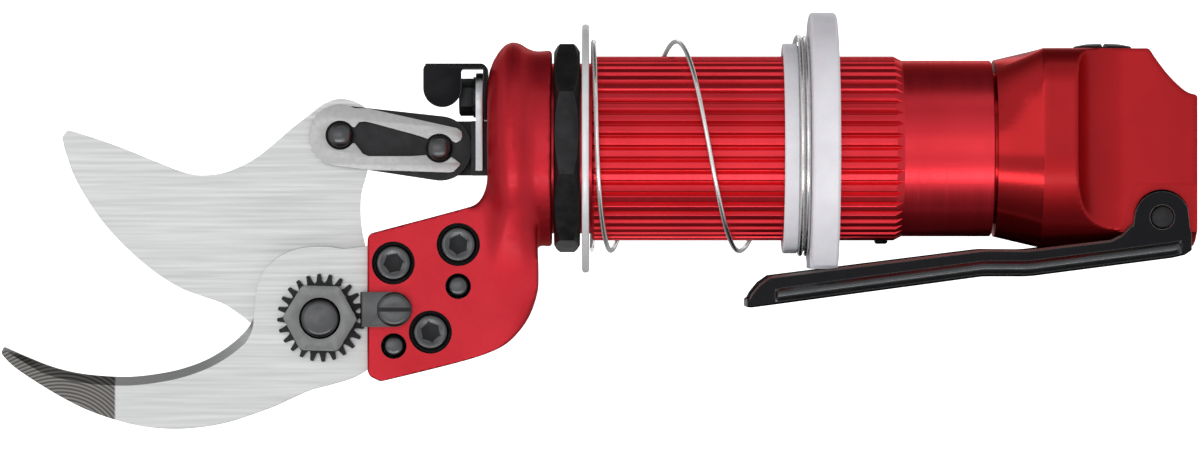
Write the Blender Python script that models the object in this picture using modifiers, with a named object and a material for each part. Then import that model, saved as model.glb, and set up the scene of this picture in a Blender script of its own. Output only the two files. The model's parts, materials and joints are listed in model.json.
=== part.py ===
"""Compressed-air pruner: bypass head, fluted barrel with a sprung guard ring, lever valve.

The barrel runs along X with the blades at -X, and the blades work in the XZ plane.
Lengths here are in millimetres with the barrel axis on X. The last step lifts everything
by AXIS_Z, so that the middle of the whole tool is at the origin.
"""

import math

import bmesh
import bpy
from mathutils import Euler, Matrix, Quaternion, Vector
from mathutils.geometry import tessellate_polygon

MM = 0.001
WELD = 0.00001
AXIS_Z = 17.3

# Joint points (x, z) and travels
PIVOT = (-66.1, -40.5)
PIN_A = (-61.7, 3.1)
PIN_B = (-38.0, 0.0)
LEVER_PIN = (133.9, -16.5)
AXIS = (0.0, 0.0)

# Barrel
BORE_R = 18.5
SPIGOT_R = 20.4
CREST_R = 22.1
SMOOTH_R = 21.1
RIBS = 48
BARREL_FRONT = -22.4
FLUTES_FROM = -1.5
FLUTES_TO = 70.7
BARREL_REAR = 94.0
STOP_X = 67.8
SPRING_LIFT = 0.6

# Rod and piston
ROD_R = 5.0
EYE_HALF = 6.5
PISTON_FRONT = 73.6
PISTON_REAR = 84.4

# Head
HEAD_NEAR = -14.5
HEAD_FAR = 9.0
HOOK_NEAR = -7.1
HOOK_FAR = -2.3
BLADE_HALF = 2.0
SCREWS = {"a": (-48.7, -27.4), "b": (-33.3, -23.0), "c": (-39.9, -43.8)}
DOWELS = {"a": (-33.3, -32.9), "b": (-48.6, -47.1)}
LOCK_SCREW = (-48.4, -38.4)
GLAND_Z = 12.3
TEETH = 24
LOCK_NUT_R = 25.7

# Valve body
VALVE_X = 120.9
BODY_FRONT = 94.7
BODY_REAR = 142.5
BODY_HALF = 23.7
FLAT_HALF = 13.2
INLET = (0.0, -2.0)

# Trigger lever
LEVER_OUT = 15.2
LEVER_IN = 13.6

RED = ((0.55, 0.022, 0.03), 0.34, 0.55)
BODY_RED = ((0.5, 0.02, 0.028), 0.36, 0.5)
BRIGHT_STEEL = ((0.62, 0.62, 0.63), 0.3, 1.0)
GREY_STEEL = ((0.42, 0.42, 0.44), 0.4, 1.0)
NUT_STEEL = ((0.25, 0.25, 0.255), 0.36, 1.0)
DARK_STEEL = ((0.1, 0.1, 0.102), 0.38, 0.9)
BLACK_OXIDE = ((0.035, 0.035, 0.038), 0.45, 0.75)
SPRING_STEEL = ((0.42, 0.42, 0.43), 0.25, 1.0)
BLACK_SHEET = ((0.03, 0.03, 0.032), 0.4, 0.6)
ZINC = ((0.6, 0.62, 0.66), 0.35, 1.0)
WHITE_PLASTIC = ((0.8, 0.79, 0.83), 0.4, 0.0)
WHITE_PLATED = ((0.78, 0.78, 0.8), 0.35, 0.3)
RUBBER = ((0.02, 0.02, 0.02), 0.75, 0.0)
BRONZE = ((0.5, 0.32, 0.14), 0.4, 1.0)
CHROME = ((0.7, 0.7, 0.72), 0.12, 1.0)
ALUMINIUM = ((0.66, 0.67, 0.69), 0.32, 1.0)

# Groups that move, with the point (x, z) of each one's joint
MOVING = {
    "piston_joint": (PIN_B, ["piston_rod", "rod_eye", "piston", "piston_seal", "piston_nut"]),
    "link_joint": (PIN_B, ["link_plate_near", "link_plate_far", "link_clip", "blade_pin",
                           "rod_pin"]),
    "blade_joint": (PIVOT, ["cutting_blade", "pivot_bush"]),
    "guard_joint": ((53.0, 0.0), ["guard_ring"]),
    "lever_joint": (LEVER_PIN, ["trigger_lever"]),
    "valve_joint": ((VALVE_X, 0.0), ["valve_plunger", "valve_spool"]),
}

PARTS = None
CUTTERS = None


# ---------------------------------------------------------------- scene and objects


def clear_scene():
    for obj in list(bpy.data.objects):
        bpy.data.objects.remove(obj, do_unlink=True)


def new_collection(name):
    made = bpy.data.collections.new(name)
    bpy.context.scene.collection.children.link(made)
    return made


def material(name, look):
    colour, roughness, metallic = look
    made = bpy.data.materials.new(name)
    made.use_nodes = True
    shader = made.node_tree.nodes["Principled BSDF"]
    shader.inputs["Base Color"].default_value = (*colour, 1.0)
    shader.inputs["Roughness"].default_value = roughness
    shader.inputs["Metallic"].default_value = metallic
    return made


def filed(obj, look):
    """Puts the object with the parts, or with the cutters when it has no look."""
    for holder in list(obj.users_collection):
        holder.objects.unlink(obj)
    if look is None:
        obj.hide_render = True
        obj.display_type = "WIRE"
        CUTTERS.objects.link(obj)
    else:
        obj.data.materials.append(material(obj.name, look))
        PARTS.objects.link(obj)
    return obj


def boolean(obj, other, operation="DIFFERENCE"):
    cut = obj.modifiers.new(other.name, "BOOLEAN")
    cut.operation = operation
    cut.solver = "EXACT"
    cut.object = other


# ---------------------------------------------------------------- shapes


def on_axis(axis, place, u, v):
    """The point at this place along the axis: u, v are the other two, in XYZ order."""
    if axis == "X":
        return (place, u, v)
    if axis == "Y":
        return (u, place, v)
    return (u, v, place)


def facing(axis, turn=0.0):
    """Rotation that takes local Z to the axis, after a turn in degrees about local Z."""
    degrees = {"X": (90, 0, 90), "Y": (-90, 0, 0), "Z": (0, 0, 0)}[axis]
    whole = Euler([math.radians(d) for d in degrees]).to_quaternion()
    return (whole @ Quaternion((0.0, 0.0, 1.0), math.radians(turn))).to_euler()


def box(name, low, high, look):
    middle = [(a + b) / 2 * MM for a, b in zip(low, high)]
    bpy.ops.mesh.primitive_cube_add(size=1.0, location=middle)
    obj = bpy.context.object
    obj.name = name
    obj.data.transform(Matrix.Diagonal([*((b - a) * MM for a, b in zip(low, high)), 1.0]))
    return filed(obj, look)


def rod(name, at, radius, low, high, look, sides=24, axis="Y", turn=0.0):
    """Straight round rod, or a prism with few sides, whose axis runs through at."""
    bpy.ops.mesh.primitive_cylinder_add(
        vertices=sides,
        radius=radius * MM,
        depth=(high - low) * MM,
        location=[c * MM for c in on_axis(axis, (low + high) / 2, *at)],
        rotation=facing(axis, turn),
    )
    obj = bpy.context.object
    obj.name = name
    return filed(obj, look)


def turned(name, profile, look, axis="X", at=(0.0, 0.0), steps=24, turn=0.0):
    """Solid turned from (place along the axis, radius) points.

    A profile that starts and ends at radius 0 is solid, and any other closes into a ring.
    """
    area = 0.0
    for (p0, r0), (p1, r1) in zip(profile, profile[1:] + profile[:1]):
        area += r0 * p1 - r1 * p0
    points = profile if area < 0 else profile[::-1]
    edges = [(i, i + 1) for i in range(len(points) - 1)]
    if profile[0][1] > 0:
        edges.append((len(points) - 1, 0))
    mesh = bpy.data.meshes.new(name)
    mesh.from_pydata([(radius * MM, 0.0, place * MM) for place, radius in points], edges, [])
    obj = bpy.data.objects.new(name, mesh)
    obj.location = [c * MM for c in on_axis(axis, 0.0, *at)]
    obj.rotation_euler = facing(axis, turn)
    screw = obj.modifiers.new("turn", "SCREW")
    screw.steps = steps
    screw.render_steps = steps
    screw.use_merge_vertices = True
    screw.merge_threshold = WELD
    screw.use_smooth_shade = True
    return filed(obj, look)


def plate(name, outline, low, high, look, holes=(), normal="Y"):
    """Flat solid between low and high along its normal, with straight holes."""
    curve = bpy.data.curves.new(name, "CURVE")
    curve.dimensions = "2D"
    curve.fill_mode = "BOTH"
    curve.extrude = (high - low) / 2 * MM
    for loop in [outline, *holes]:
        spline = curve.splines.new("POLY")
        spline.points.add(len(loop) - 1)
        for point, (u, v) in zip(spline.points, loop):
            point.co = (u * MM, v * MM, 0.0, 1.0)
        spline.use_cyclic_u = True
    flat = bpy.data.objects.new(name, curve)
    bpy.context.collection.objects.link(flat)
    flat.location = [c * MM for c in on_axis(normal, (low + high) / 2, 0.0, 0.0)]
    flat.rotation_euler = facing(normal)
    if normal == "Y":
        flat.rotation_euler = (math.radians(90), 0.0, 0.0)
    return filed(meshed(flat), look)


def meshed(curved):
    """A mesh object in place of a curve object, with its caps welded on."""
    bpy.context.view_layer.update()
    shape = curved.evaluated_get(bpy.context.evaluated_depsgraph_get())
    mesh = bpy.data.meshes.new_from_object(shape)
    bm = bmesh.new()
    bm.from_mesh(mesh)
    bmesh.ops.remove_doubles(bm, verts=bm.verts, dist=WELD)
    bmesh.ops.recalc_face_normals(bm, faces=bm.faces)
    bm.to_mesh(mesh)
    bm.free()
    name = curved.name
    place = curved.matrix_world.copy()
    bpy.data.objects.remove(curved)
    obj = bpy.data.objects.new(name, mesh)
    obj.matrix_world = place
    return obj


def chamfer(obj, width, corners=None):
    """Bevels the edges round both faces of a plate without holes, or those between corners."""
    bm = bmesh.new()
    bm.from_mesh(obj.data)
    bmesh.ops.dissolve_limit(bm, angle_limit=math.radians(0.5), verts=bm.verts, edges=bm.edges)
    places = None
    if corners:
        places = {(round(u, 2), round(v, 2)) for u, v in corners}
    chosen = []
    for edge in bm.edges:
        first, second = (v.co / MM for v in edge.verts)
        on_rim = abs(first.z - second.z) < 0.01
        listed = not places or all((round(p.x, 2), round(p.y, 2)) in places for p in (first, second))
        if on_rim and listed:
            chosen.append(edge)
    bmesh.ops.bevel(bm, geom=chosen, offset=width * MM, offset_type="OFFSET", segments=1,
                    profile=0.5, affect="EDGES")
    bm.to_mesh(obj.data)
    bm.free()


def wire(name, path, radius, look):
    """Round wire along a path of points."""
    curve = bpy.data.curves.new(name, "CURVE")
    curve.dimensions = "3D"
    curve.bevel_depth = radius * MM
    curve.bevel_resolution = 2
    curve.use_fill_caps = True
    spline = curve.splines.new("POLY")
    spline.points.add(len(path) - 1)
    for point, place in zip(spline.points, path):
        point.co = (*(c * MM for c in place), 1.0)
    return filed(bpy.data.objects.new(name, curve), look)


def loft(name, rings, look):
    """Solid through unlike rings round the X axis: (place, radius, count).

    A radius of 0 is a point on the axis, and a radius may be a function of the angle.
    """
    points = []
    loops = []
    for place, radius, count in rings:
        loop = []
        number = 1 if radius == 0 else count
        for i in range(number):
            angle = 2 * math.pi * i / number
            r = radius(angle) if callable(radius) else radius
            loop.append(len(points))
            points.append((place, r * math.cos(angle), r * math.sin(angle)))
        loops.append(loop)
    faces = []
    for first, second in zip(loops, loops[1:]):
        faces += bridge(first, second)
    if len(loops[0]) > 1:
        faces += bridge(loops[-1], loops[0])
    return solid(name, points, faces, look)


def bridge(first, second):
    """Faces between two rings of points, which may differ in count."""
    a, b = len(first), len(second)
    if a == 1 or b == 1:
        tip, rim = (first[0], second) if a == 1 else (second[0], first)
        return [(tip, rim[i], rim[(i + 1) % len(rim)]) for i in range(len(rim))]
    if a == b:
        return [
            (first[i], first[(i + 1) % a], second[(i + 1) % b], second[i])
            for i in range(a)
        ]
    faces = []
    i = j = 0
    while i < a or j < b:
        if j >= b or (i < a and (i + 1) / a <= (j + 1) / b + 1e-9):
            faces.append((first[i % a], first[(i + 1) % a], second[j % b]))
            i += 1
        else:
            faces.append((first[i % a], second[(j + 1) % b], second[j % b]))
            j += 1
    return faces


def solid(name, points, faces, look):
    """Piece from points in mm."""
    mesh = bpy.data.meshes.new(name)
    mesh.from_pydata([Vector(p) * MM for p in points], [], faces)
    bm = bmesh.new()
    bm.from_mesh(mesh)
    bmesh.ops.recalc_face_normals(bm, faces=bm.faces)
    bm.to_mesh(mesh)
    bm.free()
    mesh.polygons.foreach_set("use_smooth", [True] * len(mesh.polygons))
    mesh.set_sharp_from_angle(angle=math.radians(30))
    return filed(bpy.data.objects.new(name, mesh), look)


def ground_blade(name, outline, low, high, look, holes, insets, low_flat=None, high_flat=None):
    """Blade lofted from its outline to an inset outline, which is where the ground bevel ends.

    The bevel runs from low_flat down to the low face, or from high_flat up to the high face.
    insets holds how wide it is at each outline point.
    """
    worn = inset(outline, insets)
    if low_flat is None:
        levels = [(low, outline), (high_flat, outline), (high, worn)]
    else:
        levels = [(low, worn), (low_flat, outline), (high, outline)]
    points = []
    rings = []
    for level, loop in levels:
        rings.append(range(len(points), len(points) + len(loop)))
        points += [(u, level, v) for u, v in loop]
    faces = []
    for below, above in zip(rings, rings[1:]):
        faces += bridge(list(below), list(above))
    hole_rings = []
    for hole in holes:
        pair = []
        for level in (low, high):
            pair.append(list(range(len(points), len(points) + len(hole))))
            points += [(u, level, v) for u, v in hole]
        hole_rings.append(pair)
        faces += bridge(pair[0], pair[1])
    for side, (ring, loop) in enumerate(((rings[0], levels[0][1]), (rings[-1], levels[-1][1]))):
        loops = [[Vector((u, v, 0.0)) for u, v in loop]]
        loops += [[Vector((u, v, 0.0)) for u, v in hole] for hole in holes]
        index = list(ring)
        for pair in hole_rings:
            index += pair[side]
        faces += [tuple(index[k] for k in tri) for tri in tessellate_polygon(loops)]
    return solid(name, points, faces, look)


def inset(outline, amounts):
    """The outline moved inwards, by one amount or by one for each point."""
    count = len(outline)
    if not hasattr(amounts, "__len__"):
        amounts = [amounts] * count
    area = sum(
        outline[i - 1][0] * outline[i][1] - outline[i][0] * outline[i - 1][1]
        for i in range(count)
    )
    turn = 1.0 if area > 0 else -1.0
    moved = []
    for i in range(count):
        before = Vector(outline[i]) - Vector(outline[i - 1])
        after = Vector(outline[(i + 1) % count]) - Vector(outline[i])
        first = Vector((-before.y, before.x)).normalized() * turn
        second = Vector((-after.y, after.x)).normalized() * turn
        middle = (first + second).normalized()
        reach = amounts[i] / max(0.55, middle.dot(first))
        moved.append(tuple(Vector(outline[i]) + middle * reach))
    return moved


def arc(centre, radius, start, end, steps):
    """Points from the start angle to the end angle, in degrees."""
    angles = [math.radians(start + (end - start) * i / steps) for i in range(steps + 1)]
    return [(centre[0] + radius * math.cos(a), centre[1] + radius * math.sin(a)) for a in angles]


def circle(centre, radius, steps):
    return arc(centre, radius, 0.0, 360.0, steps)[:-1]


def coil(stations, per_turn, axis="X", at=(0.0, 0.0)):
    """Path of a spring. Stations are (turn, place, mean radius); turn 0 is at the top."""
    places = [(turn, place) for turn, place, _ in stations]
    radii = [(turn, radius) for turn, _, radius in stations]
    first, last = stations[0][0], stations[-1][0]
    count = int(round((last - first) * per_turn))
    path = []
    for i in range(count + 1):
        turn = first + (last - first) * i / count
        angle = 2 * math.pi * turn
        radius = eased(radii, turn)
        u = at[0] - radius * math.sin(angle)
        v = at[1] + radius * math.cos(angle)
        path.append(on_axis(axis, eased(places, turn), u, v))
    return path


def eased(stations, turn):
    """Monotone curve through the stations, with a gentle slope at each."""
    for i in range(len(stations) - 1):
        t0, x0 = stations[i]
        t1, x1 = stations[i + 1]
        if turn <= t1 + 1e-9:
            slopes = [slope_at(stations, i), slope_at(stations, i + 1)]
            s = (turn - t0) / (t1 - t0)
            width = t1 - t0
            return (
                x0 * (2 * s**3 - 3 * s**2 + 1)
                + slopes[0] * width * (s**3 - 2 * s**2 + s)
                + x1 * (3 * s**2 - 2 * s**3)
                + slopes[1] * width * (s**3 - s**2)
            )
    return stations[-1][1]


def slope_at(stations, i):
    """Harmonic mean of the slopes either side of a station, or level at a turning point."""
    sides = []
    for j in (i - 1, i):
        if 0 <= j < len(stations) - 1:
            rise = stations[j + 1][1] - stations[j][1]
            sides.append(rise / (stations[j + 1][0] - stations[j][0]))
    if len(sides) == 1:
        return sides[0]
    if sides[0] * sides[1] <= 0:
        return 0.0
    return 2 * sides[0] * sides[1] / (sides[0] + sides[1])


# ---------------------------------------------------------------- barrel and piston


def fluted(crest, floor):
    """Radius of a fluted ring: two points on each crest and one in each groove."""

    def radius(angle):
        step = round(angle / (2 * math.pi) * RIBS * 3) % 3
        return floor if step == 2 else crest

    return radius


def barrel():
    ribbed = RIBS * 3
    tube = loft(
        "barrel",
        [
            (BARREL_FRONT, SPIGOT_R - 0.5, 36),
            (BARREL_FRONT + 0.5, SPIGOT_R, 36),
            (FLUTES_FROM, SPIGOT_R, 36),
            (FLUTES_FROM, fluted(CREST_R - 0.4, SMOOTH_R - 0.1), ribbed),
            (FLUTES_FROM + 0.5, fluted(CREST_R, SMOOTH_R + 0.1), ribbed),
            (FLUTES_TO, fluted(CREST_R, SMOOTH_R + 0.1), ribbed),
            (FLUTES_TO + 1.9, SMOOTH_R, 48),
            (BARREL_REAR, SMOOTH_R, 48),
            (BARREL_REAR, BORE_R, 36),
            (-16.0, BORE_R, 36),
            (-16.0, 8.3, 18),
            (BARREL_FRONT, 8.3, 18),
        ],
        RED,
    )
    boolean(tube, rod("cut_stop_pin", (STOP_X, 0.0), 1.9, -30.0, -10.0, None, 12, "Z"))
    turned("ring_stop_screw", [(-22.9, 0), (-22.9, 1.2), (-22.6, 1.6), (-19.0, 1.6), (-19.0, 0)],
           BLACK_OXIDE, "Z", (STOP_X, 0.0), 12)


def piston_group():
    tongue = arc(PIN_B, EYE_HALF, 90, 270, 10)
    tongue += [(-30.1, -EYE_HALF), (-30.1, EYE_HALF)]
    eye = plate("rod_eye", tongue, -2.0, 2.0, BLACK_OXIDE, [circle(PIN_B, 2.8, 16)])
    block = box("join_rod_block", (-30.3, -EYE_HALF, -EYE_HALF), (-23.3, EYE_HALF, EYE_HALF), None)
    boolean(eye, block, "UNION")
    boolean(eye, rod("cut_rod_stud", AXIS, 3.7, -29.0, -20.0, None, 16, "X"))
    turned(
        "piston_rod",
        [
            (-28.6, 0),
            (-28.6, 3.4),
            (-23.0, 3.4),
            (-23.0, ROD_R),
            (PISTON_FRONT - 0.3, ROD_R),
            (PISTON_FRONT - 0.3, 4.0),
            (91.5, 4.0),
            (91.5, 0),
        ],
        CHROME,
        steps=20,
    )
    turned(
        "piston",
        [
            (PISTON_FRONT, 18.1),
            (77.6, 18.1),
            (77.6, 15.5),
            (80.6, 15.5),
            (80.6, 18.1),
            (PISTON_REAR, 18.1),
            (PISTON_REAR, 4.3),
            (PISTON_FRONT, 4.3),
        ],
        ALUMINIUM,
        steps=32,
    )
    ring("piston_seal", 77.9, 80.3, 15.8, 18.3, RUBBER, steps=32)
    nut = rod("piston_nut", AXIS, 7.0, 84.7, 89.0, GREY_STEEL, 6, "X")
    boolean(nut, rod("cut_piston_nut", AXIS, 4.3, 80.0, 95.0, None, 20, "X"))
    places = [(0.0, -14.2), (1.0, -11.7), (6.0, 69.6), (7.0, 72.2)]
    turns = coil([(turn, place, 12.5) for turn, place in places], 12)
    wire("return_spring", turns, 1.1, SPRING_STEEL)
    ring("rod_bush", -22.2, -18.6, 5.3, 8.0, BRONZE)
    ring("rod_seal", -18.3, -16.1, 5.2, 8.0, RUBBER)


def ring(name, low, high, inner, outer, look, axis="X", at=AXIS, steps=20):
    """Plain turned ring."""
    profile = [(low, inner), (low, outer), (high, outer), (high, inner)]
    return turned(name, profile, look, axis, at, steps)


# ---------------------------------------------------------------- head


COLLAR = [
    (-26.4, 0),
    (-26.4, 17.4),
    (-25.7, 19.2),
    (-23.6, 23.6),
    (-20.7, 25.7),
    (-18.3, 24.9),
    (-15.6, 23.4),
    (-11.1, 23.6),
    (-11.1, 0),
]

BLOCK = [
    (-54.9, -21.2),
    (-54.0, -20.3),
    (-30.8, -14.1),
    (-28.2, -12.8),
    (-26.9, -10.0),
    (-24.6, -8.2),
    (-12.2, -8.2),
    (-12.2, -24.3),
    (-12.8, -26.0),
    (-14.1, -30.8),
    (-14.7, -34.9),
    (-16.7, -40.7),
    (-20.9, -45.9),
    (-26.1, -48.8),
    (-34.6, -51.4),
    (-50.5, -55.3),
    (-51.8, -55.5),
    (-54.2, -54.5),
    (-54.9, -53.2),
]

# Neck between block and collar: (z, left, right, near, far, size of the left corners)
NECK = [
    (-38.0, -22.0, -15.4, -14.0, 8.5, 3.0),
    (-31.0, -25.0, -15.0, -14.6, 9.1, 3.0),
    (-27.0, -26.5, -14.6, -15.4, 9.9, 3.0),
    (-23.0, -27.6, -14.6, -16.8, 12.6, 4.0),
    (-19.0, -27.4, -14.6, -18.8, 16.6, 5.0),
    (-15.0, -26.9, -14.6, -20.8, 19.8, 6.0),
    (-10.0, -26.2, -14.6, -22.4, 22.0, 7.0),
    (-5.0, -25.8, -14.6, -23.2, 22.8, 8.0),
]

HOOK_SLOT = [
    (-60.0, -24.0),
    (-55.3, -22.8),
    (-31.0, -16.4),
    (-26.0, -16.4),
    (-26.0, -26.0),
    (-19.0, -28.0),
    (-19.0, -60.0),
    (-60.0, -60.0),
]


def neck():
    """Loft that carries the block's faces up to the collar."""
    points = []
    rings = []
    for z, left, right, near, far, corner in NECK:
        ring = [(left, near + corner), (left + corner, near)]
        ring += [(right - 3, near + 0.5), (right, near + 3.5)]
        ring += [(right, far - 3.5), (right - 3, far - 0.5)]
        ring += [(left + corner, far), (left, far - corner)]
        rings.append(list(range(len(points), len(points) + len(ring))))
        points += [(x, y, z) for x, y in ring]
    faces = [tuple(rings[0]), tuple(rings[-1])]
    for below, above in zip(rings, rings[1:]):
        faces += bridge(below, above)
    return solid("join_neck", points, faces, None)


def head():
    casting = plate("head_casting", BLOCK, HEAD_NEAR, HEAD_FAR, RED)
    chamfer(casting, 0.8)
    boolean(casting, turned("join_collar", COLLAR, None, steps=36), "UNION")
    boolean(casting, neck(), "UNION")
    boolean(casting, rod("cut_spigot", AXIS, 20.7, -22.7, -5.0, None, 40, "X"))
    boolean(casting, rod("cut_rod_hole", AXIS, 9.7, -32.0, -20.0, None, 20, "X"))
    boolean(casting, plate("cut_hook_slot", HOOK_SLOT, -7.4, -2.0, None))
    for tag, centre in SCREWS.items():
        boolean(casting, rod("cut_counterbore_" + tag, centre, 4.9, -20.0, -9.0, None, 20))
        boolean(casting, rod("cut_screw_hole_" + tag, centre, 2.8, -10.0, 6.0, None, 12))
    for tag, centre in DOWELS.items():
        boolean(casting, rod("cut_dowel_hole_" + tag, centre, 2.9, -20.0, 5.0, None, 12))
    boolean(casting, rod("cut_lock_screw_hole", LOCK_SCREW, 2.3, -20.0, -8.6, None, 10))
    gland = (0.0, GLAND_Z)
    boolean(casting, rod("cut_gland_hole", gland, 2.8, -30.0, -23.3, None, 12, "X"))
    fasteners()
    lock()
    gland_parts(gland)


def fasteners():
    for tag, centre in SCREWS.items():
        screw = turned(
            "cap_screw_" + tag,
            [
                (-14.2, 0),
                (-14.2, 3.9),
                (-13.9, 4.25),
                (-9.3, 4.25),
                (-9.3, 2.4),
                (5.7, 2.4),
                (5.7, 0),
            ],
            DARK_STEEL,
            "Y",
            centre,
            18,
        )
        boolean(screw, rod("cut_socket_" + tag, centre, 2.25, -16.0, -12.0, None, 6))
    for tag, centre in DOWELS.items():
        turned("dowel_pin_" + tag, [(-14.3, 0), (-14.3, 2.2), (-14.0, 2.6), (4.7, 2.6), (4.7, 0)],
               DARK_STEEL, "Y", centre, 14)


def lock():
    """Bracket whose bent end holds the tooth washer, and its slotted screw."""
    section = [
        (-43.0, -16.1),
        (-56.5, -16.1),
        (-56.5, -9.7),
        (-55.4, -9.7),
        (-55.4, -14.8),
        (-43.0, -14.8),
    ]
    bracket = plate("lock_bracket", section, -44.0, -33.0, DARK_STEEL, normal="Z")
    x, z = LOCK_SCREW
    rounded = arc(LOCK_SCREW, 4.15, -90, 90, 10) + [(x - 12, z + 4.15), (x - 12, z - 4.15)]
    boolean(bracket, plate("common_bracket", rounded, -18.0, -8.0, None), "INTERSECT")
    boolean(bracket, rod("cut_bracket_hole", LOCK_SCREW, 2.3, -20.0, -10.0, None, 10))
    tooth = [(-55.45, -39.2), (-55.45, -37.9), (-56.4, -38.3), (-56.4, -38.9)]
    boolean(bracket, plate("join_bracket_tooth", tooth, -10.5, -7.8, None), "UNION")
    screw = turned(
        "lock_screw",
        [
            (-17.4, 0),
            (-17.4, 3.3),
            (-16.9, 4.1),
            (-16.3, 4.1),
            (-16.3, 2.0),
            (-9.0, 2.0),
            (-9.0, 0),
        ],
        DARK_STEEL,
        "Y",
        LOCK_SCREW,
        20,
    )
    boolean(screw, box("cut_screw_slot", (x - 6, -19.0, z - 0.5), (x + 6, -16.7, z + 0.5), None))


def gland_parts(gland):
    """Fork that guides the rod eye, the bent opening stop, and the hex bolt through both."""
    fork = [
        (9.6, 16.4),
        (8.0, 18.0),
        (-8.0, 18.0),
        (-9.6, 16.4),
        (-9.6, -5.4),
        (-6.9, -5.4),
        (-6.9, 6.9),
        (6.9, 6.9),
        (6.9, -5.4),
        (9.6, -5.4),
    ]
    bolt_hole = circle(gland, 2.8, 16)
    plate("rod_guide_fork", fork, -29.1, -27.6, ZINC, [bolt_hole], "X")
    base = [(-8.2, 7.9), (8.2, 7.9), (8.2, 18.0), (6.2, 20.2), (-8.2, 20.2)]
    stop = plate("opening_stop", base, -27.5, -26.8, BLACK_SHEET, [bolt_hole], "X")
    strip = box("join_stop_strip", (-41.5, -8.2, 18.8), (-27.1, -3.0, 20.2), None)
    boolean(stop, strip, "UNION")
    tab = [(-41.8, 20.2), (-41.8, 14.3)] + arc((-37.25, 14.3), 4.55, 180, 360, 10)[1:]
    tab += [(-32.7, 20.2)]
    boolean(stop, plate("join_stop_tab", tab, -8.2, -6.8, None), "UNION")
    hexagon = [(-33.4, 0), (-33.4, 4.0), (-33.0, 4.55), (-30.2, 4.55), (-30.2, 0)]
    bolt = turned("gland_bolt", hexagon, BLACK_OXIDE, "X", gland, 6, 30.0)
    boolean(bolt, rod("join_bolt_shank", gland, 2.5, -31.0, -23.7, None, 12, "X"), "UNION")
    ring("gland_washer", -30.0, -29.3, 2.8, 4.9, BLACK_OXIDE, at=gland, steps=16)


# ---------------------------------------------------------------- blades and pivot


HOOK_INNER = [
    (-142.1, -47.6),
    (-136.8, -49.9),
    (-130.7, -52.3),
    (-124.6, -53.8),
    (-118.5, -54.5),
    (-112.4, -54.7),
    (-106.3, -54.1),
    (-100.2, -52.9),
    (-94.2, -50.8),
    (-89.3, -48.0),
    (-85.6, -45.0),
    (-83.5, -42.6),
]

HOOK_BOSS = [
    (-82.4, -40.4),
    (-82.0, -36.2),
    (-81.5, -33.0),
    (-79.9, -29.2),
    (-76.9, -26.2),
    (-72.8, -24.2),
    (-68.6, -23.5),
    (-64.3, -23.5),
    (-60.6, -23.9),
    (-55.3, -23.3),
]

HOOK_TAIL = [
    (-31.1, -16.9),
    (-26.4, -16.9),
    (-26.4, -26.4),
    (-19.4, -28.4),
    (-19.4, -42.5),
    (-21.5, -45.0),
    (-26.1, -48.0),
    (-34.6, -50.7),
    (-50.0, -54.2),
]

HOOK_OUTER = [
    (-55.2, -53.0),
    (-58.8, -55.0),
    (-63.7, -56.5),
    (-68.6, -57.8),
    (-72.8, -59.6),
    (-77.1, -61.6),
    (-82.0, -63.4),
    (-88.1, -65.4),
    (-94.2, -66.6),
    (-101.5, -67.1),
    (-108.8, -66.5),
    (-114.9, -65.1),
    (-121.6, -62.8),
    (-127.6, -59.9),
    (-133.7, -56.3),
    (-139.2, -52.6),
    (-142.2, -49.7),
    (-142.6, -48.5),
]

BLADE_BACK = [
    (-127.6, 4.0),
    (-126.0, 4.1),
    (-115.9, 0.8),
    (-106.7, -2.9),
    (-100.6, -5.3),
    (-96.9, -6.3),
    (-93.6, -6.4),
    (-89.6, -5.8),
    (-85.3, -4.1),
    (-81.6, -2.0),
    (-77.4, 1.4),
    (-73.1, 5.1),
    (-68.8, 8.4),
    (-66.4, 10.3),
    (-63.3, 11.7),
    (-60.4, 11.8),
    (-57.4, 10.8),
    (-55.4, 9.2),
    (-54.6, 6.6),
    (-54.6, -1.0),
    (-55.6, -6.5),
    (-56.7, -10.5),
    (-57.0, -14.8),
    (-56.6, -19.7),
    (-55.8, -24.0),
    (-55.5, -32.0),
]

BLADE_EDGE = [
    (-80.6, -44.6),
    (-83.2, -42.0),
    (-86.6, -39.3),
    (-90.2, -37.1),
    (-94.5, -35.6),
    (-99.4, -33.8),
    (-104.3, -31.0),
    (-109.2, -27.3),
    (-114.1, -22.8),
    (-119.0, -17.3),
    (-123.2, -11.1),
    (-125.9, -6.0),
    (-127.8, -0.5),
    (-128.5, 2.6),
]


def counter_blade():
    outline = HOOK_INNER + HOOK_BOSS + HOOK_TAIL + HOOK_OUTER
    ground = len(HOOK_INNER)
    insets = [0.3] + [2.0] * (ground - 2) + [0.6] + [0.3] * (len(outline) - ground)
    holes = [circle(PIVOT, 5.3, 20)]
    holes += [circle(centre, 2.8, 10) for centre in SCREWS.values()]
    holes += [circle(centre, 2.9, 12) for centre in DOWELS.values()]
    ground_blade("counter_blade", outline, HOOK_NEAR, HOOK_FAR, GREY_STEEL, holes, insets,
                 low_flat=HOOK_NEAR + 1.6)


def cutting_blade():
    boss = arc(PIVOT, 10.6, 2, -128, 10)
    outline = BLADE_BACK + boss + BLADE_EDGE
    plain = len(outline) - len(BLADE_EDGE)
    insets = [0.2] * (plain + 1) + [4.6] * (len(BLADE_EDGE) - 3) + [2.4, 0.9]
    holes = [circle(PIVOT, 6.9, 24), circle(PIN_A, 4.9, 20)]
    ground_blade("cutting_blade", outline, -BLADE_HALF, BLADE_HALF, BRIGHT_STEEL, holes, insets,
                 high_flat=BLADE_HALF - 3.3)


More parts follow.
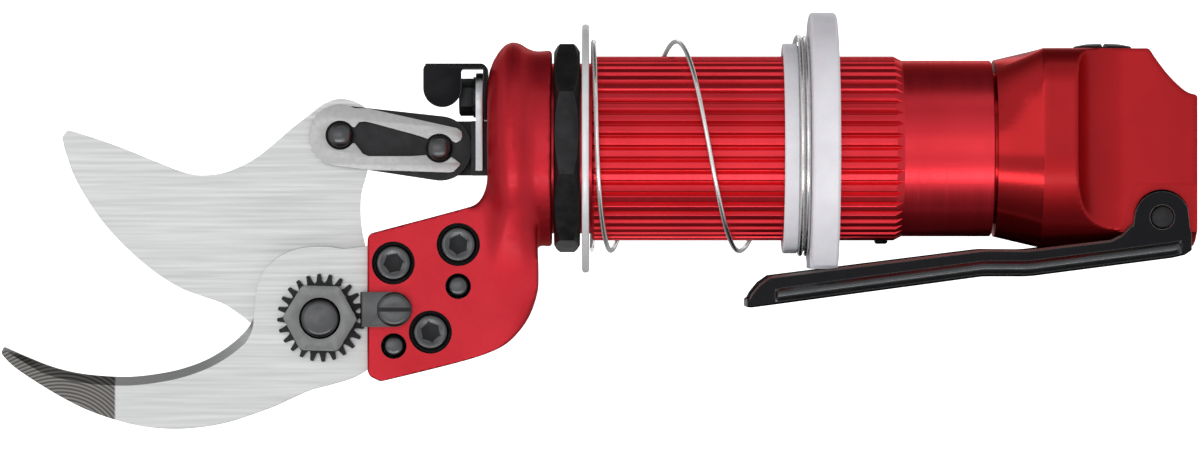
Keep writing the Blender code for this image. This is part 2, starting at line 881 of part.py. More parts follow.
def pivot_stack():
    ring("pivot_bush", -1.9, 1.9, 5.3, 6.6, BRONZE, "Y", PIVOT)
    turned(
        "pivot_bolt",
        [
            (-17.3, 0),
            (-17.1, 2.6),
            (-16.5, 4.5),
            (-9.2, 4.6),
            (-7.0, 5.0),
            (2.4, 5.0),
            (2.4, 8.2),
            (6.8, 8.2),
            (7.4, 7.6),
            (7.4, 0),
        ],
        DARK_STEEL,
        "Y",
        PIVOT,
        22,
    )
    teeth = []
    for i in range(TEETH * 3):
        radius = 8.5 if i % 3 == 2 else 10.5
        angle = math.radians(0.5 + 360 * i / (TEETH * 3))
        teeth.append((PIVOT[0] + radius * math.cos(angle), PIVOT[1] + radius * math.sin(angle)))
    plate("tooth_washer", teeth, -9.2, -7.4, BLACK_OXIDE, [circle(PIVOT, 5.3, 18)])
    hexagon = [(-15.9, 0), (-15.9, 7.9), (-15.4, 8.85), (-9.5, 8.85), (-9.5, 0)]
    nut = turned("pivot_nut", hexagon, NUT_STEEL, "Y", PIVOT, 6, 1.5)
    boolean(nut, rod("cut_nut_thread", PIVOT, 4.9, -20.0, -5.0, None, 18))


# ---------------------------------------------------------------- link


CLIP_EDGE = [(-55.0, -5.2), (-34.6, -5.8), (-33.0, -3.7), (-34.9, -2.2)]
CLIP_SLOT_LOW = [(-56.3, -1.2), (-58.0, 0.0)]
CLIP_SLOT_HIGH = [(-57.4, 5.1), (-55.4, 5.7)]
CLIP_TOP = [(-34.0, 1.3), (-32.8, 1.9), (-32.5, 3.3), (-33.6, 4.7), (-55.0, 9.5)]


def link_group():
    length = math.dist(PIN_A, PIN_B)
    lean = math.degrees(math.atan2(PIN_A[1] - PIN_B[1], PIN_A[0] - PIN_B[0]))
    side = math.degrees(math.asin((7.7 - 7.2) / length))
    outline = arc(PIN_A, 7.2, lean - 90 + side, lean + 90 - side, 10)
    outline += arc(PIN_B, 7.7, lean + 90 - side, lean + 270 + side, 12)
    pins = {"blade_pin": PIN_A, "rod_pin": PIN_B}
    holes = [rod("cut_hole_" + name, at, 2.8, -9.0, 9.0, None, 14) for name, at in pins.items()]
    for name, near, far in (("link_plate_near", -5.0, -2.3), ("link_plate_far", 2.3, 5.0)):
        side_plate = plate(name, outline, near, far, BLACK_OXIDE)
        chamfer(side_plate, 0.4)
        for hole in holes:
            boolean(side_plate, hole)
    clip = arc(PIN_A, 7.35, 62, 262, 14) + CLIP_EDGE + arc(PIN_B, 3.5, -38, -152, 6)
    clip += CLIP_SLOT_LOW + arc(PIN_A, 3.5, -46, -326, 14) + CLIP_SLOT_HIGH
    clip += arc(PIN_B, 3.5, 148, 30, 6) + CLIP_TOP
    plate("link_clip", clip, -6.3, -5.3, BRIGHT_STEEL)
    for name, centre in pins.items():
        turned(
            name,
            [
                (-8.0, 0),
                (-7.7, 1.7),
                (-6.6, 3.15),
                (-5.2, 3.15),
                (-5.2, 2.5),
                (5.2, 2.5),
                (5.2, 4.2),
                (6.5, 4.2),
                (6.5, 0),
            ],
            DARK_STEEL,
            "Y",
            centre,
            16,
        )


# ---------------------------------------------------------------- guard


def guard():
    chamfered = [
        (-10.6, 20.8),
        (-10.6, 23.4),
        (-9.4, 25.7),
        (-5.6, 25.7),
        (-4.4, 23.4),
        (-4.4, 20.8),
    ]
    nut = turned("barrel_lock_nut", chamfered, BLACK_OXIDE, steps=40)
    flats = rod("common_octagon", AXIS, LOCK_NUT_R, -12.0, -3.0, None, 8, "X", -31.0 - 90.0)
    boolean(nut, flats, "INTERSECT")
    ring("spring_washer", -3.9, -2.2, 20.8, 29.8, WHITE_PLATED, steps=48)
    stations = [
        (-0.5, -1.5, 24.9),
        (-0.1, -1.3, 25.0),
        (0.25, -0.3, 25.1),
        (0.5, 3.0, 25.1),
        (1.0, 18.6, 25.1),
        (1.5, 33.8, 25.2),
        (1.72, 42.0, 26.2),
        (1.9, 46.9, 26.4),
        (2.1, 48.25, 26.3),
        (2.5, 48.35, 26.3),
        (3.1, 49.5, 26.3),
        (3.5, 49.7, 26.3),
    ]
    path = coil(stations, 18, at=(0.0, SPRING_LIFT))
    wire("guard_spring", path, 0.57, SPRING_STEEL)
    disc = turned(
        "guard_ring",
        [
            (44.1, 25.2),
            (47.6, 25.2),
            (47.6, 24.6),
            (50.4, 24.6),
            (50.4, 31.4),
            (51.6, 32.6),
            (55.8, 32.6),
            (57.0, 31.4),
            (57.0, 22.6),
            (44.1, 22.6),
        ],
        WHITE_PLASTIC,
        steps=48,
    )
    boolean(disc, box("cut_ring_flat", (40.0, -15.8, -40.0), (60.0, 15.8, -28.8), None))
    boolean(disc, box("cut_ring_slot_near", (49.0, -15.8, -30.0), (60.0, -13.1, -23.9), None))
    boolean(disc, box("cut_ring_slot_far", (49.0, 13.1, -30.0), (60.0, 15.8, -23.9), None))


# ---------------------------------------------------------------- valve and trigger


def body_section(angle):
    """Square shoulders above the axis, round below it."""
    c, s = abs(math.cos(angle)), math.sin(angle)
    if s <= 0:
        return BODY_HALF
    corner = 9.0
    inner = BODY_HALF - corner
    if c * BODY_HALF <= s * inner:
        return BODY_HALF / s
    if s * BODY_HALF <= c * inner:
        return BODY_HALF / c
    along = inner * (c + s)
    return along + math.sqrt(along * along - 2 * inner * inner + corner * corner)


def rear_section(angle):
    return body_section(angle) - 0.5


def valve():
    body = loft(
        "valve_body",
        [
            (89.2, 18.2, 32),
            (90.2, 18.2, 32),
            (90.2, 17.0, 32),
            (92.2, 17.0, 32),
            (92.2, 18.2, 32),
            (94.5, 18.2, 32),
            (BODY_FRONT, 21.2, 48),
            (106.0, body_section, 48),
            (BODY_REAR - 0.5, body_section, 48),
            (BODY_REAR, rear_section, 48),
            (BODY_REAR, 0, 1),
            (97.0, 0, 1),
            (97.0, 10.0, 20),
            (89.2, 10.0, 20),
        ],
        BODY_RED,
    )
    for tag, side in (("near", -1), ("far", 1)):
        scoop = arc((124.8, 24.7), 11.5, 180, 270, 6)
        scoop += [(150.0, FLAT_HALF), (150.0, 40.0), (113.3, 40.0)]
        outline = [(x, side * y) for x, y in scoop]
        boolean(body, plate("cut_body_flat_" + tag, outline, -40.0, 40.0, None, normal="Z"))
    scallop = [(131.0, 24.0), (133.5, 20.4), (136.0, 16.9), (138.4, 14.7), (141.5, 13.1),
               (150.0, 12.3), (150.0, 40.0), (131.0, 40.0)]
    boolean(body, plate("cut_body_scallop", scallop, -40.0, 40.0, None))
    at = (VALVE_X, 0.0)
    stem = [(-40, 0), (-40, 2.5), (-18, 2.5), (-18, 5.3), (15.5, 5.3), (15.5, 6.6), (40, 6.6), (40, 0)]
    boolean(body, turned("cut_valve_bore", stem, None, "Z", at, 22))
    inlet = [(118.0, 0), (118.0, 3.0), (129.0, 3.0), (129.0, 6.2), (150.0, 6.2), (150.0, 0)]
    boolean(body, turned("cut_air_inlet", inlet, None, "X", INLET, 24))
    boolean(body, rod("cut_air_feed", (0.0, 5.0), 2.5, 95.0, 120.0, None, 12, "X"))
    boolean(body, rod("cut_lever_pin_hole", LEVER_PIN, 2.9, -20.0, 20.0, None, 14))
    valve_parts(at)


def valve_parts(at):
    profile = [(16.9, 0), (16.9, 6.3), (23.9, 6.3), (23.9, 7.1), (24.7, 5.6), (25.2, 0)]
    plug = turned("valve_plug", profile, BLACK_OXIDE, "Z", at, 22)
    slot = box("cut_plug_slot", (VALVE_X - 0.6, -9.0, 24.2), (VALVE_X + 0.6, 9.0, 28.0), None)
    boolean(plug, slot)
    spool = [(-11.7, 0), (-11.7, 4.9), (-7.0, 4.9), (-7.0, 3.0), (3.0, 3.0), (3.0, 4.9), (6.5, 4.9),
             (6.5, 0)]
    turned("valve_spool", spool, ALUMINIUM, "Z", at, 16)
    turns = coil([(0.0, 7.2, 3.4), (3.5, 16.3, 3.4)], 10, "Z", at)
    wire("valve_spring", turns, 0.35, SPRING_STEEL)
    plunger = [(-26.4, 0), (-26.2, 1.3), (-25.6, 2.2), (-12.0, 2.2), (-12.0, 0)]
    turned("valve_plunger", plunger, GREY_STEEL, "Z", at, 12)
    ring("body_o_ring", 90.4, 92.0, 17.2, 18.4, RUBBER, steps=28)
    turned("inlet_strainer", [(129.3, 0), (129.3, 5.9), (131.5, 5.9), (131.5, 0)], BRONZE, "X",
           INLET, 20)


def trigger():
    top = [(35.3, -36.9), (36.5, -34.5), (38.4, -32.2), (40.8, -30.5), (91.8, -24.1),
           (102.2, -24.2), (121.7, -21.9), (124.3, -20.5), (126.5, -18.1)]
    ear = arc(LEVER_PIN, 6.6, 165, -12, 10)
    low = [(141.2, -21.0), (140.9, -24.2), (139.3, -25.5), (136.2, -26.2), (102.2, -30.6),
           (91.3, -30.6), (41.7, -37.3), (36.4, -38.0)]
    lever = plate("trigger_lever", top + ear + low, -LEVER_OUT, LEVER_OUT, BLACK_SHEET)
    chamfer(lever, 1.1, low[2:])
    inside = [(30.0, 0.0), (30.0, -37.2), (36.4, -36.4), (41.7, -35.7), (91.3, -29.0),
              (102.2, -29.0), (136.2, -24.6), (150.0, -22.8), (150.0, 0.0)]
    boolean(lever, plate("cut_lever_inside", inside, -LEVER_IN, LEVER_IN, None))
    boolean(lever, rod("cut_lever_ears", LEVER_PIN, 2.9, -20.0, 20.0, None, 14))
    pin = [(-15.8, 0), (-15.8, 2.2), (-15.4, 2.6), (15.4, 2.6), (15.8, 2.2), (15.8, 0)]
    turned("lever_pin", pin, BLACK_OXIDE, "Y", LEVER_PIN, 14)


# ---------------------------------------------------------------- build


def hang_moving_parts():
    """Parents each moving group to an empty on its joint."""
    for name, (joint, members) in MOVING.items():
        empty = bpy.data.objects.new(name, None)
        empty.location = (joint[0] * MM, 0.0, joint[1] * MM)
        PARTS.objects.link(empty)
        for member in members:
            piece = PARTS.objects[member]
            piece.parent = empty
            piece.location -= empty.location


def lift_to_middle():
    """Moves the tool so that the middle of its box is at the origin."""
    for obj in list(PARTS.objects) + list(CUTTERS.objects):
        if not obj.parent:
            obj.location.z += AXIS_Z * MM


clear_scene()
PARTS = new_collection("Air pruner")
CUTTERS = new_collection("Cutters")
barrel()
piston_group()
head()
counter_blade()
cutting_blade()
pivot_stack()
link_group()
guard()
valve()
trigger()
hang_moving_parts()
lift_to_middle()
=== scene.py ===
"""Looks of the compressed-air pruner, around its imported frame.

Lengths in the code are in millimetres with the barrel axis on X, and AXIS_Z lifts them into
the frame. Every piece rides on a body of the frame and stands for the nodes it is named for.
"""

import json
import math

import bmesh
import bpy
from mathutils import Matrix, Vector
from mathutils.geometry import tessellate_polygon


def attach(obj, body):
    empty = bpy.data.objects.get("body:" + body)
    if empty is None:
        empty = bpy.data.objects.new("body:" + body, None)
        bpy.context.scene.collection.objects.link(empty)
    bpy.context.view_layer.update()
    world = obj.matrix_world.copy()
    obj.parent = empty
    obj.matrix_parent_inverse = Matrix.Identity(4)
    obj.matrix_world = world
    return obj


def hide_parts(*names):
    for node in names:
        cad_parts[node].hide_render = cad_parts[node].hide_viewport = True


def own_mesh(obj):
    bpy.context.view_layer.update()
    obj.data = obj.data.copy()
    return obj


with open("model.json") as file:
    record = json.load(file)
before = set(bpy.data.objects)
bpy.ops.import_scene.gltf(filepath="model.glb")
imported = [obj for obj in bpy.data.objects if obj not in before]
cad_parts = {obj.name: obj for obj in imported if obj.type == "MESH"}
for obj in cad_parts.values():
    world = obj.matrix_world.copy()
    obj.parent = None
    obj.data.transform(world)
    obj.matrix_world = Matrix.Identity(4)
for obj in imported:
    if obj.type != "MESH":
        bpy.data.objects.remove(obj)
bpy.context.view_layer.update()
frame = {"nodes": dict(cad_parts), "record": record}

MM = 0.001
AXIS_Z = 17.3
WELD = 0.0005
VOXEL = 0.5
NECK_ROUNDS = 130
MITRE = 0.55

RED = (0.7, 0.032, 0.046, 1.0)
DEEP_RED = (0.57, 0.02, 0.03, 1.0)
HEAD_RED = (0.56, 0.024, 0.037, 1.0)
DEEP_HEAD_RED = (0.45, 0.014, 0.022, 1.0)
BODY_RED = (0.42, 0.013, 0.017, 1.0)
DEEP_BODY_RED = (0.31, 0.009, 0.011, 1.0)
STEEL = (0.55, 0.55, 0.545, 1.0)
DULL_STEEL = (0.46, 0.46, 0.455, 1.0)
TIP_STEEL = (0.07, 0.066, 0.062, 1.0)
TIP_GROOVE = (0.2, 0.19, 0.18, 1.0)
NUT_STEEL = (0.185, 0.185, 0.185, 1.0)
PIN_STEEL = (0.1, 0.1, 0.102, 1.0)
BLACK = (0.012, 0.012, 0.013, 1.0)
WORN_BLACK = (0.09, 0.09, 0.095, 1.0)
# pale brown of the painted highlight along the black sheet's edges and the lever's rims
EDGE_HIGHLIGHT = (0.2, 0.17, 0.16, 1.0)
IVORY = (0.83, 0.81, 0.85, 1.0)


# ---- materials


TIP_END = (-115.6, -115.2)
GROOVE_CENTRE = (-128.5, -4.7, -74.0)
GROOVE_PITCH = 0.85
CONE_END = (105.2, 105.5)
LATHE_RINGS = (3.0, 0.02, 0.02)
GRINDING = (0.025, 1.0, 1.0)


class Nodes:
    """A node tree and the nodes it is built from."""

    def __init__(self, tree):
        self.tree = tree

    def feed(self, socket, value):
        """Links the socket to value if that is an output, or else sets it."""
        if isinstance(value, bpy.types.NodeSocket):
            self.tree.links.new(value, socket)
        else:
            socket.default_value = value

    def node(self, kind, inputs=(), **settings):
        """New node, with its inputs fed by name or by number."""
        made = self.tree.nodes.new(kind)
        for key, value in settings.items():
            setattr(made, key, value)
        for socket, value in dict(inputs).items():
            self.feed(made.inputs[socket], value)
        return made

    def along(self, axis, place):
        return self.node("ShaderNodeSeparateXYZ", {"Vector": place}).outputs[axis]

    def maths(self, operation, *values):
        return self.node("ShaderNodeMath", enumerate(values), operation=operation).outputs[0]

    def vectors(self, operation, *values):
        """The number that comes of an operation on vectors."""
        made = self.node("ShaderNodeVectorMath", enumerate(values), operation=operation)
        return made.outputs["Value"]

    def ranged(self, value, start, end, low, high, **settings):
        """From low to high as value goes from start to end."""
        inputs = {"Value": value, "From Min": start, "From Max": end, "To Min": low,
                  "To Max": high}
        return self.node("ShaderNodeMapRange", inputs, **settings).outputs["Result"]

    def mixed(self, factor, first, second):
        """Colour between first and second, each a colour or an output."""
        inputs = {0: factor, 6: first, 7: second}
        return self.node("ShaderNodeMix", inputs, data_type="RGBA").outputs[2]


class Look(Nodes):
    """A material built around one Principled shader."""

    def __init__(self, name, colour, metallic, roughness, **sockets):
        self.material = bpy.data.materials.new(name)
        self.material.use_nodes = True
        super().__init__(self.material.node_tree)
        self.shader = self.tree.nodes["Principled BSDF"]
        self.roughness = roughness
        self.place = self.node("ShaderNodeTexCoord").outputs["Object"]
        self.put(Base_Color=colour, Metallic=metallic, Roughness=roughness, **sockets)

    def put(self, **sockets):
        """Feeds these inputs of the shader."""
        for socket, value in sockets.items():
            self.feed(self.shader.inputs[socket.replace("_", " ")], value)
        return self

    def grain(self, scale, stretch=(1.0, 1.0, 1.0), detail=3.0):
        """Noise with features of about 1/scale metres, finer along the stretched axes."""
        mapping = self.node("ShaderNodeMapping", {"Vector": self.place, "Scale": stretch})
        inputs = {"Vector": mapping.outputs["Vector"], "Scale": scale, "Detail": detail}
        return self.node("ShaderNodeTexNoise", inputs).outputs[0]

    def fade(self, ends, low, high):
        """From low to high as X goes from one end to the other, in mm."""
        return self.ranged(self.along("X", self.place), ends[0] * MM, ends[1] * MM, low, high)

    def edges(self, radius, most):
        """The value most along edges, 0 on flats."""
        rounded = self.node("ShaderNodeBevel", {"Radius": radius * MM}, samples=4)
        flat = self.node("ShaderNodeNewGeometry").outputs["Normal"]
        same = self.vectors("DOT_PRODUCT", rounded.outputs["Normal"], flat)
        return self.ranged(same, 0.98, 0.8, 0.0, most)

    def rough(self, value, spread):
        """Roughness varied by spread either way as value goes from 0.3 to 0.7."""
        low, high = self.roughness - spread, self.roughness + spread
        return self.put(Roughness=self.ranged(value, 0.3, 0.7, low, high))

    def bump(self, height, strength, distance):
        inputs = {"Strength": strength, "Distance": distance * MM, "Height": height}
        return self.put(Normal=self.node("ShaderNodeBump", inputs).outputs["Normal"])


def dyed(name, colour, deep, roughness):
    """Anodised metal whose dye is uneven."""
    look = Look(name, colour, 0.9, roughness, Coat_Weight=0.12, Coat_Roughness=0.2,
                Specular_Tint=(1.0, 0.25, 0.25, 1.0))
    cloud = look.grain(60.0, detail=2.0)
    return look.put(Base_Color=look.mixed(look.ranged(cloud, 0.35, 0.7, 0.0, 0.6), colour, deep))


def barrel_finish(name):
    """Anodised metal with the fine rings that a lathe leaves around X."""
    look = dyed(name, RED, DEEP_RED, 0.34)
    rings = look.grain(900.0, LATHE_RINGS, detail=2.0)
    return look.rough(rings, 0.05).bump(rings, 0.05, 0.02)


def head_finish(name):
    """Anodised casting, evenly matt."""
    look = dyed(name, HEAD_RED, DEEP_HEAD_RED, 0.48)
    grit = look.grain(900.0, detail=2.0)
    return look.rough(grit, 0.05).bump(grit, 0.05, 0.02)


def body_finish(name):
    """Anodised body: its turned front is glossier than the milled block behind it."""
    look = dyed(name, BODY_RED, DEEP_BODY_RED, 0.42)
    look.put(Roughness=look.fade(CONE_END, 0.2, 0.42))
    return look.bump(look.grain(900.0, LATHE_RINGS, detail=2.0), 0.06, 0.02)


def ground_steel(name):
    """Steel ground in fine lines along X, with the lines and their colour."""
    look = Look(name, STEEL, 1.0, 0.36)
    lines = look.grain(1400.0, GRINDING, detail=5.0)
    colour = look.mixed(look.ranged(lines, 0.35, 0.7, 0.0, 0.8), STEEL, DULL_STEEL)
    look.rough(lines, 0.05).bump(lines, 0.06, 0.02)
    return look, colour


def blade_finish(name):
    look, ground = ground_steel(name)
    return look.put(Base_Color=ground)


def hook_finish(name):
    """Ground steel whose tip is left dark, with fine grooves round one centre."""
    look, ground = ground_steel(name)
    x, y, z = GROOVE_CENTRE
    away = look.vectors("DISTANCE", look.place, (x * MM, y * MM, (z + AXIS_Z) * MM))
    wave = look.maths("SINE", look.maths("MULTIPLY", away, 2 * math.pi / (GROOVE_PITCH * MM)))
    tip = look.mixed(look.ranged(wave, -0.8, 0.8, 0.0, 1.0), TIP_STEEL, TIP_GROOVE)
    return look.put(Base_Color=look.mixed(look.fade(TIP_END, 1.0, 0.0), ground, tip))


def blackened(name):
    """Oxide black, paler along its edges."""
    look = Look(name, BLACK, 0.6, 0.42)
    cloud = look.grain(350.0, detail=4.0)
    tone = look.mixed(look.ranged(cloud, 0.4, 0.8, 0.0, 0.18), BLACK, WORN_BLACK)
    look.put(Base_Color=look.mixed(look.edges(0.25, 0.7), tone, WORN_BLACK))
    return look.rough(cloud, 0.04).bump(cloud, 0.03, 0.03)


def glossy_black(name):
    """Thick black coating that only shines where it turns away, with a painted highlight along its
    edges.
    """
    look = Look(name, BLACK, 1.0, 0.26)
    cloud = look.grain(500.0, detail=2.0)
    # painted highlight: the colour turns pale brown along the edges
    look.put(Base_Color=look.mixed(look.edges(0.35, 0.8), BLACK, EDGE_HIGHLIGHT))
    return look.rough(cloud, 0.05).bump(cloud, 0.04, 0.03)


def plain(name, colour, metallic, roughness, scale=300.0, spread=0.06, strength=0.05, **sockets):
    """One colour, slightly clouded."""
    look = Look(name, colour, metallic, roughness, **sockets)
    cloud = look.grain(scale)
    darker = tuple(c * 0.86 for c in colour[:3]) + (1.0,)
    look.put(Base_Color=look.mixed(look.ranged(cloud, 0.35, 0.75, 0.0, 0.7), colour, darker))
    return look.rough(cloud, spread).bump(cloud, strength, 0.03)


LOOKS = {
    "red_anodised": barrel_finish("red_anodised"),
    "red_head": head_finish("red_head"),
    "red_body": body_finish("red_body"),
    "blade_steel": blade_finish("blade_steel"),
    "hook_steel": hook_finish("hook_steel"),
    "clip_steel": plain("clip_steel", (0.44, 0.435, 0.43, 1.0), 1.0, 0.4, 900.0, 0.03),
    "nut_steel": plain("nut_steel", NUT_STEEL, 1.0, 0.34, 400.0, 0.08, 0.08),
    "dark_steel": plain("dark_steel", PIN_STEEL, 1.0, 0.3, 400.0, 0.08, 0.08),
    "grey_steel": plain("grey_steel", (0.42, 0.42, 0.43, 1.0), 1.0, 0.38),
    "black_oxide": blackened("black_oxide"),
    "black_sheet": glossy_black("black_sheet"),
    # painted highlight: a lighter black for the outer faces of the lever's bead
    "bead_highlight": plain("bead_highlight", (0.085, 0.088, 0.09, 1.0), 1.0, 0.3, 500.0),
    # painted highlight: pale brown finish for the thin line along the lever's top rims
    "edge_highlight": plain("edge_highlight", EDGE_HIGHLIGHT, 0.8, 0.45, 500.0),
    "spring_steel": plain("spring_steel", (0.86, 0.85, 0.83, 1.0), 1.0, 0.24, 900.0),
    "zinc": plain("zinc", (0.5, 0.505, 0.515, 1.0), 1.0, 0.34, 500.0, 0.1),
    "white_plastic": plain("white_plastic", IVORY, 0.0, 0.38, 150.0,
                           Subsurface_Weight=0.15, Subsurface_Scale=0.004),
    "white_plated": plain("white_plated", (0.8, 0.8, 0.8, 1.0), 0.25, 0.36, 400.0),
    "rubber": plain("rubber", (0.02, 0.02, 0.02, 1.0), 0.0, 0.75, 800.0, 0.05, 0.15),
    "bronze": plain("bronze", (0.5, 0.31, 0.13, 1.0), 1.0, 0.42, 900.0, 0.08, 0.15),
    "chrome": plain("chrome", (0.75, 0.75, 0.77, 1.0), 1.0, 0.12, 300.0, 0.03, 0.02),
    "aluminium": plain("aluminium", (0.7, 0.71, 0.73, 1.0), 1.0, 0.34, 600.0),
}


# ---- studio


CAMERA_PLACE = (0.0004, -1.4, -0.0013)
FADE_STEEP = (0.5, 1.0, 0.82, 0.06)
FADE_BEHIND = (0.0, 0.6, 1.0, 0.42)
FLOOR_Z = -0.3
FLOOR_RADIUS = 5.0
FLOOR_CURVE = 1.4
WALL_TOP = 3.2
FLOOR_STEPS = 96


def studio():
    """Camera, even surroundings, white floor and four soft lights."""
    bpy.context.scene.view_settings.view_transform = "Standard"
    camera = bpy.data.objects.new("camera", bpy.data.cameras.new("camera"))
    camera.data.lens = 175.0
    camera.data.clip_end = 50.0
    camera.location = CAMERA_PLACE
    camera.rotation_euler = (math.radians(90), 0.0, 0.0)
    bpy.context.collection.objects.link(camera)
    bpy.context.scene.camera = camera

    surroundings()
    backdrop()
    area("key_light", (-0.8, -2.6, 0.2), (2.6, 1.2), 8.0)
    area("low_light", (-0.2, -2.1, -1.6), (3.0, 0.45), 18.0)
    area("top_light", (0.2, -1.0, 2.2), (2.6, 0.8), 4.0)
    area("back_light", (0.3, 2.4, 1.1), (3.0, 0.6), 5.0)


def surroundings():
    """Even light from the front that fades upwards, downwards and behind the tool."""
    world = bpy.data.worlds.new("world")
    world.use_nodes = True
    nodes = Nodes(world.node_tree)
    heading = nodes.node("ShaderNodeTexCoord").outputs["Generated"]
    steep = nodes.maths("ABSOLUTE", nodes.along("Z", heading))
    fades = [nodes.ranged(value, *limits, interpolation_type="SMOOTHSTEP")
             for value, limits in ((steep, FADE_STEEP), (nodes.along("Y", heading), FADE_BEHIND))]
    background = nodes.tree.nodes["Background"]
    nodes.feed(background.inputs["Color"], (0.97, 0.985, 1.0, 1.0))
    nodes.feed(background.inputs["Strength"], nodes.maths("MULTIPLY", *fades))
    bpy.context.scene.world = world


def area(name, place, size, power):
    """Soft light that faces the tool and isn't seen by the camera."""
    lamp = bpy.data.lights.new(name, "AREA")
    lamp.shape = "RECTANGLE"
    lamp.size, lamp.size_y = size
    lamp.energy = power
    obj = bpy.data.objects.new(name, lamp)
    obj.location = place
    obj.rotation_euler = (-Vector(place)).to_track_quat("-Z", "Y").to_euler()
    obj.visible_camera = False
    bpy.context.collection.objects.link(obj)


def backdrop():
    """White floor that curves up into a wall all round, well outside every view."""
    profile = [(0.0, FLOOR_Z)] + [
        (FLOOR_RADIUS + math.sin(a) * FLOOR_CURVE, FLOOR_Z + FLOOR_CURVE * (1 - math.cos(a)))
        for a in (math.radians(10 * i) for i in range(10))]
    profile.append((FLOOR_RADIUS + FLOOR_CURVE, WALL_TOP))
    mesh = bpy.data.meshes.new("floor")
    bm = bmesh.new()
    rings = []
    for radius, height in profile:
        count = 1 if radius == 0 else FLOOR_STEPS
        turns = [2 * math.pi * i / count for i in range(count)]
        rings.append([bm.verts.new((radius * math.cos(t), radius * math.sin(t), height))
                      for t in turns])
    for inner, outer in zip(rings, rings[1:]):
        for corners in bridge(inner, outer):
            bm.faces.new(corners)
    bm.to_mesh(mesh)
    bm.free()
    floor = bpy.data.objects.new("floor", mesh)
    look = Look("floor_white", (0.9, 0.9, 0.9, 1.0), 0.0, 0.9,
                Emission_Color=(1.0, 1.0, 1.0, 1.0), Emission_Strength=1.0)
    mesh.materials.append(look.material)
    floor.visible_glossy = False
    floor.visible_diffuse = False
    floor.visible_shadow = False
    bpy.context.collection.objects.link(floor)


# ---- pieces


BODY_OF = {node: body for body, nodes in frame["record"]["behaviour"]["bodies"].items()
           for node in nodes}
SLOT_OF = {part["node"]: part["material_slot"] for part in frame["record"]["subparts"]}


def piece(name, points, faces, smooth=35.0):
    """Object from points in mm with the barrel axis at height 0."""
    mesh = bpy.data.meshes.new(name)
    mesh.from_pydata([(x * MM, y * MM, (z + AXIS_Z) * MM) for x, y, z in points], [], faces)
    bm = bmesh.new()
    bm.from_mesh(mesh)
    bmesh.ops.recalc_face_normals(bm, faces=bm.faces)
    bm.to_mesh(mesh)
    bm.free()
    obj = bpy.data.objects.new(name, mesh)
    bpy.context.collection.objects.link(obj)
    return shade(obj, smooth)


def shade(obj, smooth=35.0):
    """Smooth shading, sharp where faces meet at more than smooth degrees."""
    obj.data.polygons.foreach_set("use_smooth", [True] * len(obj.data.polygons))
    obj.data.set_sharp_from_angle(angle=math.radians(smooth))
    return obj


def stand_in(obj, *nodes):
    """Puts obj in place of these nodes, with the finish and on the body of the first."""
    slot = SLOT_OF[nodes[0]]
    if not obj.data.materials:
        obj.data.materials.append(None)
    obj.data.materials[0] = LOOKS[slot].material
    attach(obj, BODY_OF[nodes[0]])
    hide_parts(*nodes)
    return obj


def inked(obj, slot, inside):
    """Gives the faces whose middle passes the test another material: painted shade in holes and
    slots, painted highlights on the lever.
    """
    obj.data.materials.append(LOOKS[slot].material)
    for face in obj.data.polygons:
        x, y, z = face.center / MM
        if inside(x, y, z - AXIS_Z):
            face.material_index = len(obj.data.materials) - 1


def settle(obj):
    """Makes the result of the modifiers the mesh of obj, without faces of no area."""
    bpy.context.view_layer.update()
    graph = bpy.context.evaluated_depsgraph_get()
    made = bpy.data.meshes.new_from_object(obj.evaluated_get(graph))
    bm = bmesh.new()
    bm.from_mesh(made)
    bmesh.ops.remove_doubles(bm, verts=bm.verts, dist=WELD * MM)
    bmesh.ops.dissolve_degenerate(bm, edges=bm.edges, dist=WELD * MM)
    bm.to_mesh(made)
    bm.free()
    obj.modifiers.clear()
    obj.data = made
    return obj


def cut(obj, *cutters, operation="DIFFERENCE", smooth=35.0):
    """Applies the cutters one after another and removes them."""
    for cutter in cutters:
        change = obj.modifiers.new("cut", "BOOLEAN")
        change.operation = operation
        change.solver = "EXACT"
        change.object = cutter
    settle(obj)
    for cutter in cutters:
        bpy.data.objects.remove(cutter)
    return shade(obj, smooth)


def soften(obj, width, segments=2, smooth=35.0):
    """Rounds the edges sharper than 30 degrees."""
    bevel = obj.modifiers.new("soften", "BEVEL")
    bevel.width = width * MM
    bevel.segments = segments
    bevel.limit_method = "ANGLE"
    bevel.angle_limit = math.radians(30.0)
    return shade(settle(obj), smooth)


def melted(obj, rounds, more=None):
    """Fuses overlapping shells into one skin and smooths it, much more so where more is 1."""
    remesh = obj.modifiers.new("fuse", "REMESH")
    remesh.mode = "VOXEL"
    remesh.voxel_size = VOXEL * MM
    settle(obj)
    if more:
        group = obj.vertex_groups.new(name="more")
        for vertex in obj.data.vertices:
            x, _, z = vertex.co / MM
            weight = more(x, z - AXIS_Z)
            if weight > 0:
                group.add([vertex.index], weight, "REPLACE")
        extra = obj.modifiers.new("fillet", "SMOOTH")
        extra.iterations = NECK_ROUNDS
        extra.vertex_group = "more"
        settle(obj)
    relax = obj.modifiers.new("relax", "SMOOTH")
    relax.iterations = rounds
    settle(obj)
    obj.vertex_groups.clear()
    return shade(obj, 60.0)


def on_axis(axis, place, u, v):
    """The point at this place along the axis: u, v are the other two, in XYZ order."""
    if axis == "X":
        return (place, u, v)
    if axis == "Y":
        return (u, place, v)
    return (u, v, place)


def bridge(first, second):
    """Faces between two rings of equally many points, or between a ring and one point."""
    count = max(len(first), len(second))
    if min(len(first), len(second)) == 1:
        tip, rim = (first[0], second) if len(first) == 1 else (second[0], first)
        return [(tip, rim[i], rim[(i + 1) % count]) for i in range(count)]
    return [(first[i], first[(i + 1) % count], second[(i + 1) % count], second[i])
            for i in range(count)]


